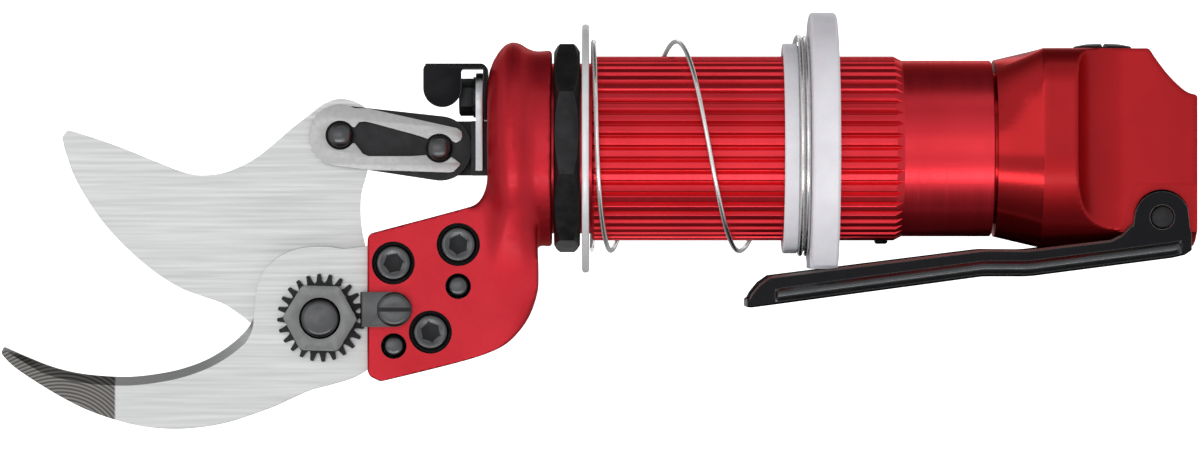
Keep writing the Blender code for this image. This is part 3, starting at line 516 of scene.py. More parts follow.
def turned(name, profile, axis="X", at=(0.0, 0.0), steps=48, turn=0.0):
    """Turned shape from (place, radius) pairs; the radius may be a function of the angle.

    A profile that ends on the axis is solid, and any other closes into a ring.
    """
    points = []
    loops = []
    for place, radius in profile:
        loop = []
        for i in range(1 if radius == 0 else steps):
            angle = math.radians(turn) + 2 * math.pi * i / steps
            r = radius(angle) if callable(radius) else radius
            loop.append(len(points))
            points.append(on_axis(axis, place, at[0] + r * math.cos(angle),
                                  at[1] + r * math.sin(angle)))
        loops.append(loop)
    faces = []
    for first, second in zip(loops, loops[1:]):
        faces += bridge(first, second)
    if len(loops[0]) > 1:
        faces += bridge(loops[-1], loops[0])
    return piece(name, points, faces)


def skin(name, rings, smooth=35.0, looped=False):
    """Surface through rings of equally many points, with closed ends or joined into a loop."""
    count = len(rings[0])
    loops = [range(k * count, (k + 1) * count) for k in range(len(rings))]
    faces = []
    if looped:
        loops.append(loops[0])
    else:
        for ring, loop in ((rings[0], loops[0]), (rings[-1], loops[-1])):
            end = [Vector(point) for point in ring]
            faces += [tuple(loop[k] for k in tri) for tri in tessellate_polygon([end])]
    for first, second in zip(loops, loops[1:]):
        faces += bridge(first, second)
    return piece(name, [point for ring in rings for point in ring], faces, smooth)


def rod(name, at, radius, low, high, axis="Y", steps=40):
    """Round bar."""
    return turned(name, [(low, 0), (low, radius), (high, radius), (high, 0)], axis, at, steps)


def plate(name, outline, low, high, holes=(), near=None, far=None, normal="Y", smooth=35.0):
    """Flat shape between low and high; near and far are ground bevels as (insets, depth)."""
    levels = [(low, outline)]
    if near:
        levels = [(low, inset(outline, near[0])), (low + near[1], outline)]
    if far:
        levels += [(high - far[1], outline), (high, inset(outline, far[0]))]
    else:
        levels.append((high, outline))
    points = []
    rings = []
    for place, loop in levels:
        rings.append(list(range(len(points), len(points) + len(loop))))
        points += [on_axis(normal, place, u, v) for u, v in loop]
    faces = []
    for below, above in zip(rings, rings[1:]):
        faces += bridge(below, above)
    sides = [list(rings[0]), list(rings[-1])]
    for hole in holes:
        pair = []
        for side, place in zip(sides, (low, high)):
            loop = list(range(len(points), len(points) + len(hole)))
            pair.append(loop)
            side += loop
            points += [on_axis(normal, place, u, v) for u, v in hole]
        faces += bridge(*pair)
    for side, loop in zip(sides, (levels[0][1], levels[-1][1])):
        loops = [[Vector((u, v, 0.0)) for u, v in ring] for ring in (loop, *holes)]
        faces += [tuple(side[k] for k in tri) for tri in tessellate_polygon(loops)]
    return piece(name, points, faces, smooth)


def inset(outline, amounts):
    """The outline moved inwards, by its own amount at each point."""
    count = len(outline)
    turning = sum(outline[i - 1][0] * outline[i][1] - outline[i][0] * outline[i - 1][1]
                  for i in range(count))
    side = 1.0 if turning > 0 else -1.0
    moved = []
    for i in range(count):
        before = Vector(outline[i]) - Vector(outline[i - 1])
        after = Vector(outline[(i + 1) % count]) - Vector(outline[i])
        first = Vector((-before.y, before.x)).normalized() * side
        second = Vector((-after.y, after.x)).normalized() * side
        middle = (first + second).normalized()
        reach = amounts[i] / max(MITRE, middle.dot(first))
        moved.append(tuple(Vector(outline[i]) + middle * reach))
    return moved


def arc(centre, radius, start, end, steps):
    """Points from the start angle to the end angle, in degrees."""
    angles = [math.radians(start + (end - start) * i / steps) for i in range(steps + 1)]
    return [(centre[0] + radius * math.cos(a), centre[1] + radius * math.sin(a)) for a in angles]


def circle(centre, radius, steps=40):
    """Points of a full circle."""
    return arc(centre, radius, 0.0, 360.0, steps)[:-1]


def box(left, low, right, high):
    """Corners of a rectangle."""
    return [(left, low), (right, low), (right, high), (left, high)]


def flowing(points, steps=5):
    """Smooth run through the points, ends included."""
    chain = [Vector(p) for p in points]
    chain = [2 * chain[0] - chain[1]] + chain + [2 * chain[-1] - chain[-2]]
    run = []
    for i in range(1, len(chain) - 2):
        a, b, c, d = chain[i - 1:i + 3]
        for k in range(steps):
            t = k / steps
            run.append(tuple(0.5 * (2 * b + (c - a) * t + (2 * a - 5 * b + 4 * c - d) * t**2
                                    + (3 * b - a - 3 * c + d) * t**3)))
    run.append(tuple(chain[-2]))
    return run


def wire(name, path, radius, sides=12):
    """Round wire along a path of points, with flat ends."""
    path = [Vector(p) for p in path]
    turns = [2 * math.pi * k / sides for k in range(sides)]
    rings = []
    side = (path[1] - path[0]).normalized().orthogonal()
    for i, place in enumerate(path):
        ahead = (path[min(i + 1, len(path) - 1)] - path[max(i - 1, 0)]).normalized()
        side = (side - ahead * side.dot(ahead)).normalized()
        up = ahead.cross(side)
        rings.append([tuple(place + (side * math.cos(t) + up * math.sin(t)) * radius)
                      for t in turns])
    return skin(name, rings, 75.0)


def coil(stations, per_turn, lift=0.0):
    """Path of a spring. Stations are (turn, place, mean radius); turn 0 is at the top."""
    places = [(turn, place) for turn, place, _ in stations]
    radii = [(turn, radius) for turn, _, radius in stations]
    first, last = stations[0][0], stations[-1][0]
    count = round((last - first) * per_turn)
    path = []
    for i in range(count + 1):
        turn = first + (last - first) * i / count
        angle = 2 * math.pi * turn
        radius = eased(radii, turn)
        path.append((eased(places, turn), -radius * math.sin(angle),
                     lift + radius * math.cos(angle)))
    return path


def eased(stations, turn):
    """Monotone curve through the stations, with a gentle slope at each."""
    for i in range(len(stations) - 1):
        t0, x0 = stations[i]
        t1, x1 = stations[i + 1]
        if turn <= t1 + 1e-9:
            width = t1 - t0
            s = (turn - t0) / width
            return (x0 * (2 * s**3 - 3 * s**2 + 1)
                    + slope_at(stations, i) * width * (s**3 - 2 * s**2 + s)
                    + x1 * (3 * s**2 - 2 * s**3)
                    + slope_at(stations, i + 1) * width * (s**3 - s**2))
    return stations[-1][1]


def slope_at(stations, i):
    """Harmonic mean of the slopes either side of a station, or level at a turning point."""
    sides = []
    for j in (i - 1, i):
        if 0 <= j < len(stations) - 1:
            rise = stations[j + 1][1] - stations[j][1]
            sides.append(rise / (stations[j + 1][0] - stations[j][0]))
    if len(sides) == 1:
        return sides[0]
    if sides[0] * sides[1] <= 0:
        return 0.0
    return 2 * sides[0] * sides[1] / (sides[0] + sides[1])


# ---- head


PIVOT = (-66.1, -40.5)
PIN_A = (-61.7, 3.1)
PIN_B = (-38.0, 0.0)
SCREWS = {"a": (-48.7, -27.4), "b": (-33.3, -23.0), "c": (-39.9, -43.8)}
SOCKET_TURNS = {"a": 10.0, "b": 24.0, "c": 41.0}
DOWELS = {"a": (-33.3, -32.9), "b": (-48.6, -47.1)}
LOCK_SCREW = (-48.4, -38.4)
GLAND = (0.0, 12.3)

COUNTERBORE = [(-20.0, 0), (-20.0, 5.2), (-14.6, 5.2), (-14.2, 4.9), (-9.0, 4.9), (-9.0, 2.8),
               (6.0, 2.8), (6.0, 0)]
DOWEL_HOLE = [(-20.0, 0), (-20.0, 3.15), (-14.6, 3.15), (-14.3, 2.9), (5.0, 2.9), (5.0, 0)]
COLLAR = [(-26.4, 0), (-26.4, 16.6), (-26.1, 18.6), (-25.2, 21.0), (-23.8, 23.3), (-22.2, 25.0),
          (-20.4, 25.6), (-18.6, 25.1), (-16.8, 23.9), (-15.0, 23.3), (-13.0, 23.4),
          (-11.1, 23.6), (-11.1, 0)]
BLOCK = [(-54.9, -21.2), (-54.0, -20.3), (-30.8, -14.1), (-28.2, -12.8), (-26.9, -10.0),
         (-24.6, -4.0), (-14.6, -4.0), (-14.6, -23.0), (-14.5, -26.0), (-14.4, -30.8),
         (-14.7, -34.9), (-16.7, -40.7), (-20.9, -45.9), (-26.1, -48.8), (-34.6, -51.4),
         (-50.5, -55.3), (-51.8, -55.5), (-54.2, -54.5), (-54.9, -53.2)]
HOOK_SLOT = [(-60.0, -24.0), (-55.3, -22.8), (-31.0, -16.4), (-26.0, -16.4), (-26.0, -26.0),
             (-19.0, -28.0), (-19.0, -60.0), (-60.0, -60.0)]
NECK = [(-44.0, -27.0, -22.0, -14.0, 8.5, 1.0), (-38.0, -26.5, -17.4, -14.5, 8.9, 2.0),
        (-31.0, -27.5, -15.2, -15.1, 9.5, 3.0), (-27.0, -27.8, -14.6, -15.9, 10.2, 3.0),
        (-23.0, -27.8, -14.6, -17.1, 12.8, 4.0), (-19.0, -27.4, -14.6, -18.8, 16.6, 5.0),
        (-15.0, -26.9, -14.6, -20.8, 19.8, 6.0), (-10.0, -26.2, -14.6, -22.4, 22.0, 7.0),
        (-5.0, -25.8, -14.6, -23.2, 22.8, 8.0)]


def neck_loft():
    """Body that carries the block's faces up to the collar."""
    rings = []
    for z, left, right, near, far, corner in NECK:
        ring = [(left, near + corner), (left + corner, near)]
        ring += [(right - 3, near + 0.5), (right, near + 3.5)]
        ring += [(right, far - 3.5), (right - 3, far - 0.5)]
        ring += [(left + corner, far), (left, far - corner)]
        rings.append([(x, y, z) for x, y in ring])
    return skin("neck", rings)


def neck(x, z):
    """How much of the extra smoothing a point of the head gets: all of it at the neck."""
    across = min(1.0, max(0.0, (x + 30.5) / 2.0), max(0.0, (-14.6 - x) / 1.5))
    down = min(1.0, max(0.0, (z + 48.0) / 10.0), max(0.0, -z / 6.0))
    return across * down


def head_casting():
    smooth_block = flowing(BLOCK[1:5], 4) + BLOCK[5:7] + flowing(BLOCK[7:17], 4)
    smooth_block += flowing([BLOCK[17], BLOCK[18]], 2) + [BLOCK[0]]
    casting = plate("head_casting_fine", smooth_block, -14.5, 9.0)
    cut(casting, turned("collar", COLLAR, steps=96), neck_loft(), operation="UNION")
    melted(casting, 6, neck)
    cutters = [
        rod("spigot", (0.0, 0.0), 20.7, -22.7, -5.0, "X", 72),
        rod("rod_hole", (0.0, 0.0), 9.7, -32.0, -20.0, "X", 48),
        rod("gland_hole", GLAND, 2.8, -30.0, -23.3, "X", 24),
        plate("hook_slot", HOOK_SLOT, -7.4, -2.0),
        rod("lock_hole", LOCK_SCREW, 2.3, -20.0, -8.6, steps=24),
    ]
    for centre in SCREWS.values():
        cutters.append(turned("counterbore", COUNTERBORE, "Y", centre))
    for centre in DOWELS.values():
        cutters.append(turned("dowel_hole", DOWEL_HOLE, "Y", centre, 32))
    cut(casting, *cutters, smooth=40.0)
    stand_in(casting, "head_casting")
    # painted shade: the walls of the screw and dowel holes get the black finish
    holes = [(centre, 5.25) for centre in SCREWS.values()]
    holes += [(centre, 3.15) for centre in DOWELS.values()]
    inked(casting, "black_oxide", lambda x, y, z: -14.47 < y < -7.0 and any(
        math.dist((x, z), centre) < radius for centre, radius in holes))


def socket_screw(tag, centre):
    """Cap screw with a hexagon socket, with painted shade inside the socket."""
    profile = [(-14.2, 0), (-14.2, 3.35), (-14.15, 3.6), (-14.0, 3.9), (-13.75, 4.13),
               (-13.4, 4.25), (-9.3, 4.25), (-9.3, 2.4), (5.7, 2.4), (5.7, 0)]
    screw = turned("cap_screw_" + tag + "_fine", profile, "Y", centre)
    rim = turned("rim", [(-16.0, 0), (-16.0, 3.3), (-14.2, 3.05), (-13.75, 2.35), (-13.7, 0)], "Y",
                 centre)
    socket = turned("socket", [(-16.0, 0), (-16.0, 2.45), (-11.6, 2.45), (-10.9, 0)], "Y", centre,
                    6, SOCKET_TURNS[tag])
    cut(screw, rim, socket)
    stand_in(screw, "cap_screw_" + tag)
    # painted shade: the faces inside the socket get the black finish
    inked(screw, "black_oxide", lambda x, y, z: y > -13.72 and math.dist((x, z), centre) < 2.46)


def fasteners():
    for tag, centre in SCREWS.items():
        socket_screw(tag, centre)
    for tag, centre in DOWELS.items():
        profile = [(-14.4, 0), (-14.35, 1.0), (-14.2, 1.7), (-13.85, 2.3), (-13.3, 2.6),
                   (4.7, 2.6), (4.7, 0)]
        pin = turned("dowel_pin_" + tag + "_fine", profile, "Y", centre, 40)
        stand_in(pin, "dowel_pin_" + tag)


def lock_parts():
    """Bent bracket with a tooth that holds the tooth washer, and its screw."""
    section = [(-43.0, -16.1)] + arc((-55.6, -15.2), 0.9, -90, -180, 6)
    section += [(-56.5, -9.7), (-55.4, -9.7), (-55.4, -14.4), (-55.0, -14.8), (-43.0, -14.8)]
    bracket = plate("lock_bracket_fine", section, -44.0, -33.0, normal="Z")
    x, z = LOCK_SCREW
    edge = arc(LOCK_SCREW, 4.15, -90, 90, 32) + [(x - 12, z + 4.15), (x - 12, z - 4.15)]
    cut(bracket, plate("edge", edge, -18.0, -8.0), operation="INTERSECT")
    tooth = plate("tooth", [(-55.45, -39.2), (-55.45, -37.9), (-56.4, -38.3), (-56.4, -38.9)],
                  -10.5, -7.8)
    cut(bracket, rod("hole", LOCK_SCREW, 2.3, -20.0, -10.0, steps=24))
    cut(bracket, tooth, operation="UNION")
    stand_in(soften(bracket, 0.18), "lock_bracket")
    profile = [(-17.4, 0), (-17.4, 3.0), (-17.3, 3.4), (-17.0, 3.85), (-16.65, 4.1), (-16.3, 4.1),
               (-16.3, 2.0), (-9.0, 2.0), (-9.0, 0)]
    screw = turned("lock_screw_fine", profile, "Y", LOCK_SCREW)
    slot = plate("slot", box(x - 6, z - 0.5, x + 6, z + 0.5), -19.0, -16.75)
    screw = stand_in(soften(cut(screw, slot), 0.1), "lock_screw")
    # painted shade: the faces inside the screw's slot get the black finish
    inked(screw, "black_oxide", lambda x, y, z: y > -17.2 and abs(z - LOCK_SCREW[1]) < 0.52)


def gland_parts():
    fork = arc((3.9, 12.3), 5.7, 0, 90, 12) + arc((-3.9, 12.3), 5.7, 90, 180, 12)
    fork += [(-9.6, -5.4), (-6.9, -5.4), (-6.9, 6.9), (6.9, 6.9), (6.9, -5.4), (9.6, -5.4)]
    bolt_hole = circle(GLAND, 2.8, 32)
    fork = plate("rod_guide_fork_fine", fork, -29.25, -27.6, [bolt_hole], normal="X")
    stand_in(soften(fork, 0.2), "rod_guide_fork")
    base = [(-8.2, 6.8), (8.2, 6.8), (8.2, 18.0), (6.2, 20.2), (-8.2, 20.2)]
    stop = plate("opening_stop_fine", base, -27.55, -26.5, [bolt_hole], normal="X")
    strip = plate("strip", box(-41.3, 18.8, -27.1, 20.2), -8.2, -3.0)
    tab = arc((-40.3, 18.7), 1.5, 90, 180, 6) + arc((-37.25, 14.3), 4.55, 180, 360, 24)
    tab += arc((-32.0, 18.1), 0.7, 180, 90, 5) + [(-27.1, 18.8), (-27.1, 20.2)]
    cut(stop, strip, plate("tab", tab, -8.2, -6.8), operation="UNION")
    bend = arc((-28.1, 18.6), 1.6, 0, 90, 10) + [(-28.1, 21.0), (-26.0, 21.0), (-26.0, 18.6)]
    cut(stop, plate("bend", bend, -9.0, 9.0))
    stand_in(soften(stop, 0.25), "opening_stop")
    head = turned("gland_bolt_fine", [(-33.4, 0), (-33.4, 3.9), (-33.0, 4.55), (-30.05, 4.55),
                                      (-30.05, 0)], "X", GLAND, 6, 30.0)
    cut(head, rod("shank", GLAND, 2.5, -31.0, -23.7, "X", 24), operation="UNION")
    stand_in(soften(head, 0.12), "gland_bolt")


# ---- blades and pivot


HOOK_INNER = [(-142.1, -47.6), (-136.8, -49.9), (-130.7, -52.3), (-124.6, -53.8),
              (-118.5, -54.5), (-112.4, -54.7), (-106.3, -54.1), (-100.2, -52.9),
              (-94.2, -50.8), (-89.3, -48.0), (-85.6, -45.0), (-83.5, -42.6), (-82.4, -40.4)]
HOOK_BOSS = [(-82.4, -40.4), (-82.0, -36.2), (-81.5, -33.0), (-79.9, -29.2), (-76.9, -26.2),
             (-72.8, -24.2), (-68.6, -23.5), (-64.3, -23.5), (-60.6, -23.9), (-55.3, -23.3)]
HOOK_TAIL = [(-31.1, -16.9), (-26.4, -16.9), (-26.4, -26.4), (-19.4, -28.4), (-19.4, -42.5),
             (-21.5, -45.0), (-26.1, -48.0), (-34.6, -50.7), (-50.0, -54.2)]
HOOK_OUTER = [(-55.2, -53.0), (-58.8, -55.0), (-63.7, -56.5), (-68.6, -57.8), (-72.8, -59.6),
              (-77.1, -61.6), (-82.0, -63.4), (-88.1, -65.4), (-94.2, -66.6), (-101.5, -67.1),
              (-108.8, -66.5), (-114.9, -65.1), (-121.6, -62.8), (-127.6, -59.9),
              (-133.7, -56.3), (-139.2, -52.6), (-142.2, -49.7), (-142.6, -48.5)]
BLADE_BACK = [(-127.6, 4.0), (-126.0, 4.1), (-115.9, 0.8), (-106.7, -2.9), (-100.6, -5.3),
              (-96.9, -6.3), (-93.6, -6.4), (-89.6, -5.8), (-85.3, -4.1), (-81.6, -2.0),
              (-77.4, 1.4), (-73.1, 5.1), (-68.8, 8.4), (-66.4, 10.3), (-63.3, 11.7),
              (-60.4, 11.8), (-57.4, 10.8), (-55.4, 9.2), (-54.6, 6.6), (-54.6, -1.0),
              (-55.6, -6.5), (-56.7, -10.5), (-57.0, -14.8), (-56.6, -19.7), (-55.8, -24.0),
              (-55.5, -32.0)]
BLADE_EDGE = [(-80.6, -44.6), (-83.2, -42.0), (-86.6, -39.3), (-90.2, -37.1), (-94.5, -35.6),
              (-99.4, -33.8), (-104.3, -31.0), (-109.2, -27.3), (-114.1, -22.8),
              (-119.0, -17.3), (-123.2, -11.1), (-125.9, -6.0), (-127.8, -0.5), (-128.5, 2.6)]
HOOK_BEVEL = 1.9
EDGE_BEVEL = 4.4
TEETH = 24


def counter_blade():
    inner = flowing(HOOK_INNER)[:-1]
    outline = inner + flowing(HOOK_BOSS) + HOOK_TAIL + flowing(HOOK_OUTER)
    taper = len(inner) // 6
    grow = [min(1.0, (i + 1) / taper, max(0.0, (len(inner) - i) / taper))
            for i in range(len(outline))]
    insets = [0.12 + HOOK_BEVEL * g for g in grow]
    holes = [circle(PIVOT, 5.3)]
    holes += [circle(centre, 2.8, 24) for centre in SCREWS.values()]
    holes += [circle(centre, 2.9, 24) for centre in DOWELS.values()]
    hook = plate("counter_blade_fine", outline, -7.1, -2.3, holes, near=(insets, 1.6), smooth=28.0)
    stand_in(hook, "counter_blade")


def cutting_blade():
    back = flowing(BLADE_BACK)
    boss = arc(PIVOT, 10.6, 2, -128, 36)
    edge = flowing(BLADE_EDGE)
    outline = back + boss + edge
    grow = [0.0] * len(back + boss)
    grow += [min(1.0, (i + 1) / 8, (len(edge) - i) / 12) for i in range(len(edge))]
    insets = [0.15 + EDGE_BEVEL * g for g in grow]
    holes = [circle(PIVOT, 6.9), circle(PIN_A, 4.9)]
    blade = plate("cutting_blade_fine", outline, -2.0, 2.0, holes, far=(insets, 3.5), smooth=28.0)
    stand_in(blade, "cutting_blade")


def pivot_stack():
    teeth = []
    for i in range(TEETH):
        start = 0.5 + 360 / TEETH * i
        for angle, radius in ((0.0, 10.45), (2.2, 10.5), (4.4, 10.45), (6.6, 8.9), (8.4, 8.4),
                              (10.9, 8.4), (12.8, 8.9)):
            a = math.radians(start + angle)
            teeth.append((PIVOT[0] + radius * math.cos(a), PIVOT[1] + radius * math.sin(a)))
    washer = plate("tooth_washer_fine", teeth, -9.2, -7.4, [circle(PIVOT, 5.3)])
    stand_in(soften(washer, 0.12, 1), "tooth_washer")
    bolt = [(-17.3, 0), (-17.3, 3.4), (-17.15, 3.9), (-16.8, 4.3), (-16.4, 4.5), (-9.2, 4.6),
            (-7.0, 5.0), (2.4, 5.0), (2.4, 8.2), (6.8, 8.2), (7.2, 7.9), (7.4, 7.4), (7.4, 3.0),
            (7.1, 2.7), (7.1, 0)]
    stand_in(turned("pivot_bolt_fine", bolt, "Y", PIVOT, 64), "pivot_bolt")
    nut = turned("pivot_nut_fine", [(-15.9, 4.75), (-15.9, 8.85), (-9.5, 8.85), (-9.5, 4.75)], "Y",
                 PIVOT, 6, -1.5)
    chamfer = turned("chamfer", [(-15.9, 0), (-15.9, 8.5), (-15.65, 8.9), (-9.5, 8.9), (-9.5, 0)],
                     "Y", PIVOT, 96)
    cut(nut, chamfer, operation="INTERSECT")
    cut(nut, turned("thread", [(-17.0, 0), (-17.0, 5.4), (-15.5, 4.75), (-9.0, 4.75), (-9.0, 0)],
                    "Y", PIVOT))
    stand_in(soften(nut, 0.15, smooth=30.0), "pivot_nut")


# ---- link


def link_group():
    length = math.dist(PIN_A, PIN_B)
    lean = math.degrees(math.atan2(PIN_A[1] - PIN_B[1], PIN_A[0] - PIN_B[0]))
    side = math.degrees(math.asin((7.7 - 7.2) / length))
    outline = arc(PIN_A, 7.2, lean - 90 + side, lean + 90 - side, 32)
    outline += arc(PIN_B, 7.7, lean + 90 - side, lean + 270 + side, 36)
    holes = [circle(PIN_A, 2.8), circle(PIN_B, 2.8)]
    for name, near, far in (("link_plate_near", -5.0, -2.3), ("link_plate_far", 2.3, 5.0)):
        stand_in(soften(plate(name + "_fine", outline, near, far, holes), 0.45, 3), name)
    clip = arc(PIN_A, 7.35, 62, 262, 40)
    clip += [(-55.0, -5.2), (-35.6, -5.8), (-34.6, -5.6), (-33.1, -4.1), (-33.0, -3.6),
             (-34.9, -2.2)]
    clip += arc(PIN_B, 3.5, -38, -152, 14)
    clip += [(-44.6, -1.9), (-54.9, -1.9), (-56.3, -1.3), (-57.4, 0.2), (-58.2, 1.2)]
    clip += arc(PIN_A, 3.5, -34, -326, 30)
    clip += [(-58.2, 5.0), (-57.2, 6.2), (-55.8, 6.4), (-54.0, 6.0), (-44.0, 3.3)]
    clip += arc(PIN_B, 3.5, 140, 30, 14)
    clip += [(-34.0, 1.3), (-32.9, 1.9), (-32.5, 2.8), (-32.7, 4.0), (-33.8, 4.8), (-55.0, 9.5)]
    stand_in(soften(plate("link_clip_fine", clip, -6.3, -5.3), 0.15), "link_clip")
    for name, centre in (("blade_pin", PIN_A), ("rod_pin", PIN_B)):
        profile = [(-8.0, 0), (-7.95, 0.7), (-7.75, 1.5), (-7.35, 2.3), (-6.8, 2.85), (-6.2, 3.1),
                   (-5.2, 3.15), (-5.2, 2.5), (5.2, 2.5), (5.2, 4.2), (6.2, 4.2), (6.5, 3.9),
                   (6.5, 0)]
        stand_in(turned(name + "_fine", profile, "Y", centre), name)


# ---- barrel, guard and spring


RIBS = 48
SMOOTH_R = 21.1
CREST_R = 22.1
FLUTES = (-1.5, 70.7)
RUN_OUT = 1.9
RING_STOP = (67.8, 0.0)
SPRING_LIFT = 0.6


def barrel():
    """Tube with RIBS grooves; groove is (degrees from the groove's middle, radius)."""
    groove = [(0.22, 21.22), (1.3, 21.8), (1.62, 22.02), (2.1, CREST_R), (3.75, CREST_R)]
    rib = groove + [(7.5 - angle, radius) for angle, radius in reversed(groove[:-1])]
    turns = [math.radians(360 / RIBS * i + angle) for i in range(RIBS) for angle, _ in rib]
    radii = [radius for _, radius in rib] * RIBS
    front, rear = FLUTES
    stations = [
        [(front, r - 0.45) for r in radii],
        [(front + 0.45, r) for r in radii],
        [(rear + RUN_OUT * (CREST_R - r) / (CREST_R - SMOOTH_R), r) for r in radii],
        [(rear + RUN_OUT, SMOOTH_R)] * len(turns),
    ]
    for place, radius in ((93.7, SMOOTH_R), (94.0, 20.8), (94.0, 18.5), (-16.0, 18.5),
                          (-16.0, 8.3), (-22.4, 8.3), (-22.4, 19.9), (-21.9, 20.4),
                          (front, 20.4)):
        stations.append([(place, radius)] * len(turns))
    rings = [[(x, r * math.cos(t), r * math.sin(t)) for t, (x, r) in zip(turns, station)]
             for station in stations]
    tube = skin("barrel_fine", rings, 22.0, looped=True)
    cut(tube, rod("stop_hole", RING_STOP, 1.9, -30, -10, "Z", 24), smooth=22.0)
    stand_in(tube, "barrel")
    screw = turned("ring_stop_screw_fine", [(-22.9, 0), (-22.9, 1.1), (-22.75, 1.4), (-22.4, 1.6),
                                            (-19.0, 1.6), (-19.0, 0)], "Z", RING_STOP, 24)
    stand_in(screw, "ring_stop_screw")


def guard():
    nut = turned("barrel_lock_nut_fine", box(-10.6, 20.8, -4.4, 25.7), steps=8, turn=-31.0)
    chamfer = turned("chamfer", [(-10.6, 0), (-10.6, 23.2), (-9.1, 25.8), (-5.9, 25.8),
                                 (-4.4, 23.2), (-4.4, 0)], steps=160)
    cut(nut, chamfer, operation="INTERSECT")
    cut(nut, rod("bore", (0.0, 0.0), 20.8, -12.0, -3.0, "X", 96), smooth=30.0)
    stand_in(soften(nut, 0.2, smooth=30.0), "barrel_lock_nut")
    washer = [(-3.9, 20.8), (-3.9, 29.2), (-3.75, 29.6), (-3.4, 29.8), (-2.7, 29.8), (-2.35, 29.6),
              (-2.2, 29.2), (-2.2, 20.8)]
    stand_in(turned("spring_washer_fine", washer, steps=128), "spring_washer")
    stations = [(-0.5, -1.5, 24.9), (-0.1, -1.3, 25.0), (0.25, -0.3, 25.1), (0.5, 3.0, 25.1),
                (1.0, 18.6, 25.1), (1.5, 33.8, 25.2), (1.72, 42.0, 26.2), (1.9, 46.9, 26.4),
                (2.1, 48.25, 26.0), (2.5, 48.35, 25.9), (3.1, 49.55, 25.9), (3.5, 49.75, 25.9)]
    spring = wire("guard_spring_fine", coil(stations, 64, SPRING_LIFT), 0.57)
    stand_in(spring, "guard_spring")
    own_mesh(spring)
    ring = [(44.1, 22.9), (44.1, 24.9), (44.4, 25.2), (47.4, 25.2), (47.6, 25.0), (47.6, 24.6),
            (50.4, 24.6), (50.4, 31.4), (50.6, 32.2), (51.1, 32.6), (56.3, 32.6),
            (56.8, 32.2), (57.0, 31.6), (57.0, 22.9), (56.7, 22.6), (44.4, 22.6)]
    disc = turned("guard_ring_fine", ring, steps=128)
    flat = plate("flat", box(40.0, -40.0, 60.0, -28.8), -16.8, 16.8)
    slots = [plate("slot", box(49.0, -30.0, 60.0, -23.9), low, high)
             for low, high in ((-16.8, -13.1), (13.1, 16.8))]
    cut(disc, flat, *slots)
    stand_in(disc, "guard_ring")


# ---- valve body and lever


LEVER_PIN = (133.9, -16.5)
VALVE_X = 120.9
INLET = (0.0, -2.0)
BODY_HALF = 23.7
BODY_CORNER = 9.0


def body_section(angle):
    """Square shoulders above the axis, round below it."""
    c, s = abs(math.cos(angle)), math.sin(angle)
    if s <= 0:
        return BODY_HALF
    inner = BODY_HALF - BODY_CORNER
    if c * BODY_HALF <= s * inner:
        return BODY_HALF / s
    if s * BODY_HALF <= c * inner:
        return BODY_HALF / c
    along = inner * (c + s)
    return along + math.sqrt(along**2 - 2 * inner**2 + BODY_CORNER**2)


def valve_body():
    body = turned("valve_body_fine", [(93.0, 0), (93.0, 20.8), (105.4, body_section),
                                      (142.5, body_section), (142.5, 0)], steps=192)
    for side in (-1, 1):
        scoop = arc((124.8, 24.7), 11.5, 180, 270, 24)
        scoop += [(150.0, 13.2), (150.0, 40.0), (113.3, 40.0)]
        cut(body, plate("scoop", [(x, side * y) for x, y in scoop], -40.0, 40.0, normal="Z"))
    scallop = flowing([(130.4, 24.6), (133.2, 20.4), (136.0, 16.9), (138.6, 14.4), (141.5, 12.8),
                       (150.0, 11.9)], 4)
    cut(body, plate("scallop", scallop + [(150.0, 40.0), (130.4, 40.0)], -40.0, 40.0))
    melted(body, 3)
    front = rod("front", (0.0, 0.0), 40.0, 80.0, 94.7, "X", 24)
    stem = turned("stem", [(-40, 0), (-40, 2.5), (-18, 2.5), (-18, 5.3), (15.5, 5.3), (15.5, 6.6),
                           (22.9, 6.6), (23.9, 7.3), (40, 7.3), (40, 0)], "Z", (VALVE_X, 0.0))
    inlet = turned("inlet", [(118.0, 0), (118.0, 3.0), (129.0, 3.0), (129.0, 6.2), (141.9, 6.2),
                             (142.6, 7.0), (150.0, 7.0), (150.0, 0)], "X", INLET)
    cut(body, front, stem, inlet, rod("feed", (0.0, 5.0), 2.5, 90.0, 120.0, "X", 24),
        rod("pin_hole", LEVER_PIN, 2.9, -20.0, 20.0, steps=32), smooth=38.0)
    recess = [(127.6, -8.5), (150.0, -8.5), (150.0, -40.0), (121.5, -40.0), (121.5, -21.0),
              (124.6, -19.5)]
    cut(body, plate("recess", recess, 12.7, 30.0), plate("recess", recess, -30.0, -12.7))
    spigot = [(89.2, 10.0), (89.2, 18.2), (90.2, 18.2), (90.2, 17.0), (92.2, 17.0), (92.2, 18.2),
              (94.9, 18.2), (94.9, 10.0)]
    cut(body, turned("spigot", spigot, steps=64), operation="UNION", smooth=38.0)
    stand_in(body, "valve_body")
    profile = [(16.9, 0), (16.9, 6.3), (23.6, 6.3), (23.9, 6.9), (24.2, 7.0), (24.5, 6.7),
               (25.0, 4.0), (25.2, 0)]
    plug = turned("valve_plug_fine", profile, "Z", (VALVE_X, 0.0))
    slot = plate("slot", box(VALVE_X - 0.6, 24.2, VALVE_X + 0.6, 28.0), -9.0, 9.0)
    stand_in(soften(cut(plug, slot), 0.1), "valve_plug")


